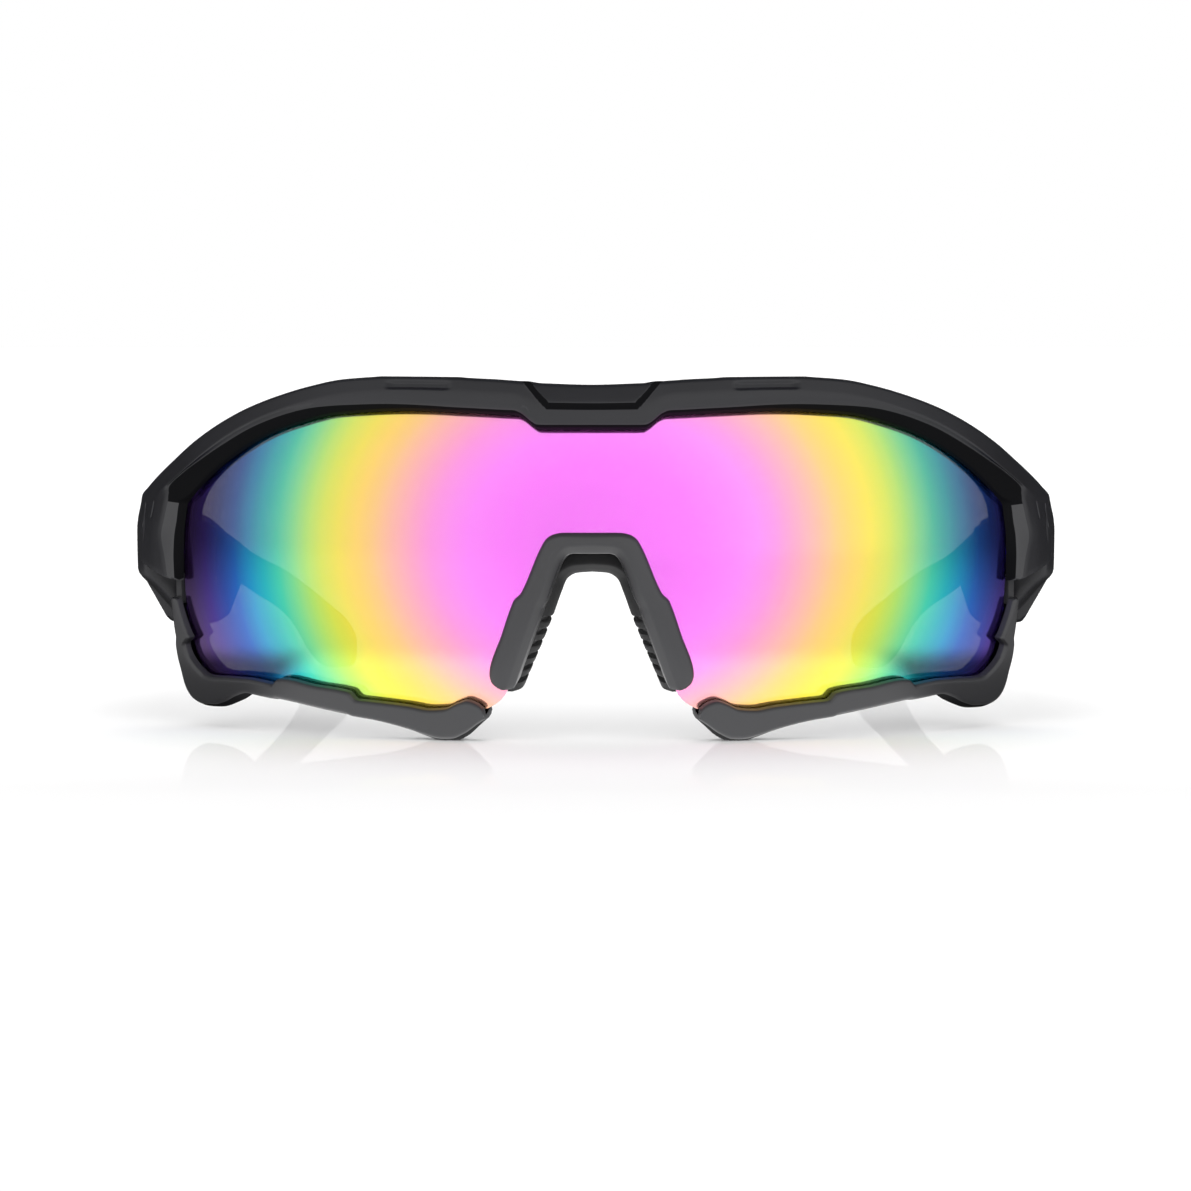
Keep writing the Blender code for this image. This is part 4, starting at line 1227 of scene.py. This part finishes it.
def make_floor():
    made = bmesh.new()
    bmesh.ops.create_grid(made, x_segments=1, y_segments=1, size=6.0)
    mesh = bpy.data.meshes.new("studio_floor")
    made.to_mesh(mesh)
    made.free()
    floor = bpy.data.objects.new("studio_floor", mesh)
    bpy.context.scene.collection.objects.link(floor)
    n = Nodes("studio_floor")
    split = n.add("ShaderNodeSeparateXYZ")
    n.link(n.place, split.inputs["Vector"])
    x, y, _ = split.outputs
    n.set(
        Base_Color=n.between(y, *FLOOR_TURN, *FLOOR_ALBEDO),
        Roughness=0.6,
        Specular_IOR_Level=0.0,
    )
    across_view = n.math("MULTIPLY", x, FLOOR_STRETCH)
    square = n.math("MULTIPLY", across_view, across_view)
    apart = n.math("SQRT", n.math("ADD", square, n.math("MULTIPLY", y, y)))
    reach = n.add("ShaderNodeVectorMath", operation="LENGTH")
    n.link(n.place, reach.inputs[0])
    reach = reach.outputs["Value"]
    gloss = n.add("ShaderNodeBsdfGlossy")
    gloss.inputs["Roughness"].default_value = FLOOR_ROUGHNESS
    seen = n.add("ShaderNodeMixShader")
    n.link(n.between(apart, *FLOOR_FADE, FLOOR_GLOSS, 0.0), seen.inputs["Fac"])
    n.link(n.shader.outputs["BSDF"], seen.inputs[1])
    n.link(gloss.outputs["BSDF"], seen.inputs[2])
    # To the object the floor is an even glow, so its own shadow isn't mirrored in the lens.
    side = n.math("DIVIDE", y, n.math("MAXIMUM", reach, 0.001))
    front = n.between(side, *FRONT_ENDS, FRONT_LEVEL, SIDE_LEVEL)
    near = n.between(side, *NEAR_ENDS, *NEAR_GAIN)
    bright = n.math("MULTIPLY", front, n.between(reach, *NEAR_FADE, near, 1.0))
    path = n.add("ShaderNodeLightPath")
    glow = n.add("ShaderNodeEmission")
    strength = n.between(path.outputs["Is Glossy Ray"], 0.0, 1.0, FLOOR_FILL, bright)
    n.link(strength, glow.inputs["Strength"])
    mix = n.add("ShaderNodeMixShader")
    n.link(path.outputs["Is Camera Ray"], mix.inputs["Fac"])
    n.link(glow.outputs["Emission"], mix.inputs[1])
    n.link(seen.outputs["Shader"], mix.inputs[2])
    n.link(mix.outputs["Shader"], n.output.inputs["Surface"])
    if hasattr(n.material, "cycles"):
        n.material.cycles.emission_sampling = "NONE"
    mesh.materials.append(n.material)


def make_world():
    """A bright room ahead, which is what mirrors see, and darker flags beside, behind and above.

    Matte surfaces get a light of their own, and the camera sees plain white."""
    world = bpy.data.worlds.new("studio")
    bpy.context.scene.world = world
    world.use_nodes = True
    tree = world.node_tree
    tree.nodes.clear()
    add, link = tree.nodes.new, tree.links.new
    split = add("ShaderNodeSeparateXYZ")
    link(add("ShaderNodeTexCoord").outputs["Generated"], split.inputs["Vector"])
    x, y, z = split.outputs
    lean = between(tree, x, *LEAN_ENDS, *(FRONT_LEVEL * share for share in FRONT_LEAN))
    level = between(tree, y, *FRONT_ENDS, lean, SIDE_LEVEL)
    level = between(tree, z, *TOP_ENDS, level, TOP_LEVEL)
    level = between(tree, y, *REAR_ENDS, level, REAR_LEVEL)
    path = add("ShaderNodeLightPath").outputs
    endways = add("ShaderNodeMath")
    endways.operation = "ABSOLUTE"
    link(y, endways.inputs[0])
    matte = between(tree, endways.outputs["Value"], *AMBIENT_ENDS, *AMBIENT)
    level = between(tree, path["Is Diffuse Ray"], 0.0, 1.0, level, matte)
    level = between(tree, path["Is Camera Ray"], 0.0, 1.0, level, 1.0)
    background = add("ShaderNodeBackground")
    background.inputs["Color"].default_value = (1.0, 1.0, 1.0, 1.0)
    link(level, background.inputs["Strength"])
    output = add("ShaderNodeOutputWorld")
    link(background.outputs["Background"], output.inputs["Surface"])
    if hasattr(world, "cycles"):  # so that every ray meets the level meant for its own kind
        world.cycles.sampling_method = "NONE"


def add_sun(name, elevation, azimuth, spread, power):
    data = bpy.data.lights.new(name, "SUN")
    data.angle = math.radians(spread)
    data.energy = power
    light = bpy.data.objects.new(name, data)
    bpy.context.scene.collection.objects.link(light)
    light.rotation_euler = (math.radians(90.0 - elevation), 0.0, math.radians(azimuth))
    light.visible_glossy = False


def make_camera():
    low, high = CAD_BOX
    apex = CENTRE.y * MM - LENS_RADIUS * MM
    data = bpy.data.cameras.new("camera")
    data.sensor_width = 36.0
    data.lens = CAMERA_LENS
    data.clip_start = 0.01
    camera = bpy.data.objects.new("camera", data)
    bpy.context.scene.collection.objects.link(camera)
    middle = (low[0] + high[0]) / 2
    camera.location = (middle + CAMERA_ASIDE, apex - CAMERA_AHEAD, low[2] + CAMERA_UP)
    turn = math.atan(CAMERA_ASIDE / AIM_REACH)
    camera.rotation_euler = (math.radians(90.0 - CAMERA_TILT), 0.0, turn)
    bpy.context.scene.camera = camera


def main():
    make_camera()
    make_world()
    make_floor()
    add_sun("overhead_softbox", elevation=80.0, azimuth=180.0, spread=80.0, power=SUN)
    bpy.context.scene.view_settings.view_transform = "Standard"
    make_brow()
    make_lens()
    make_nose_bridge()
    make_nose_saddle()
    for word, side in (("left", 1), ("right", -1)):
        make_rim(word, side)
        make_temple(word, side)
    finish_hardware()
    bpy.context.view_layer.update()


main()
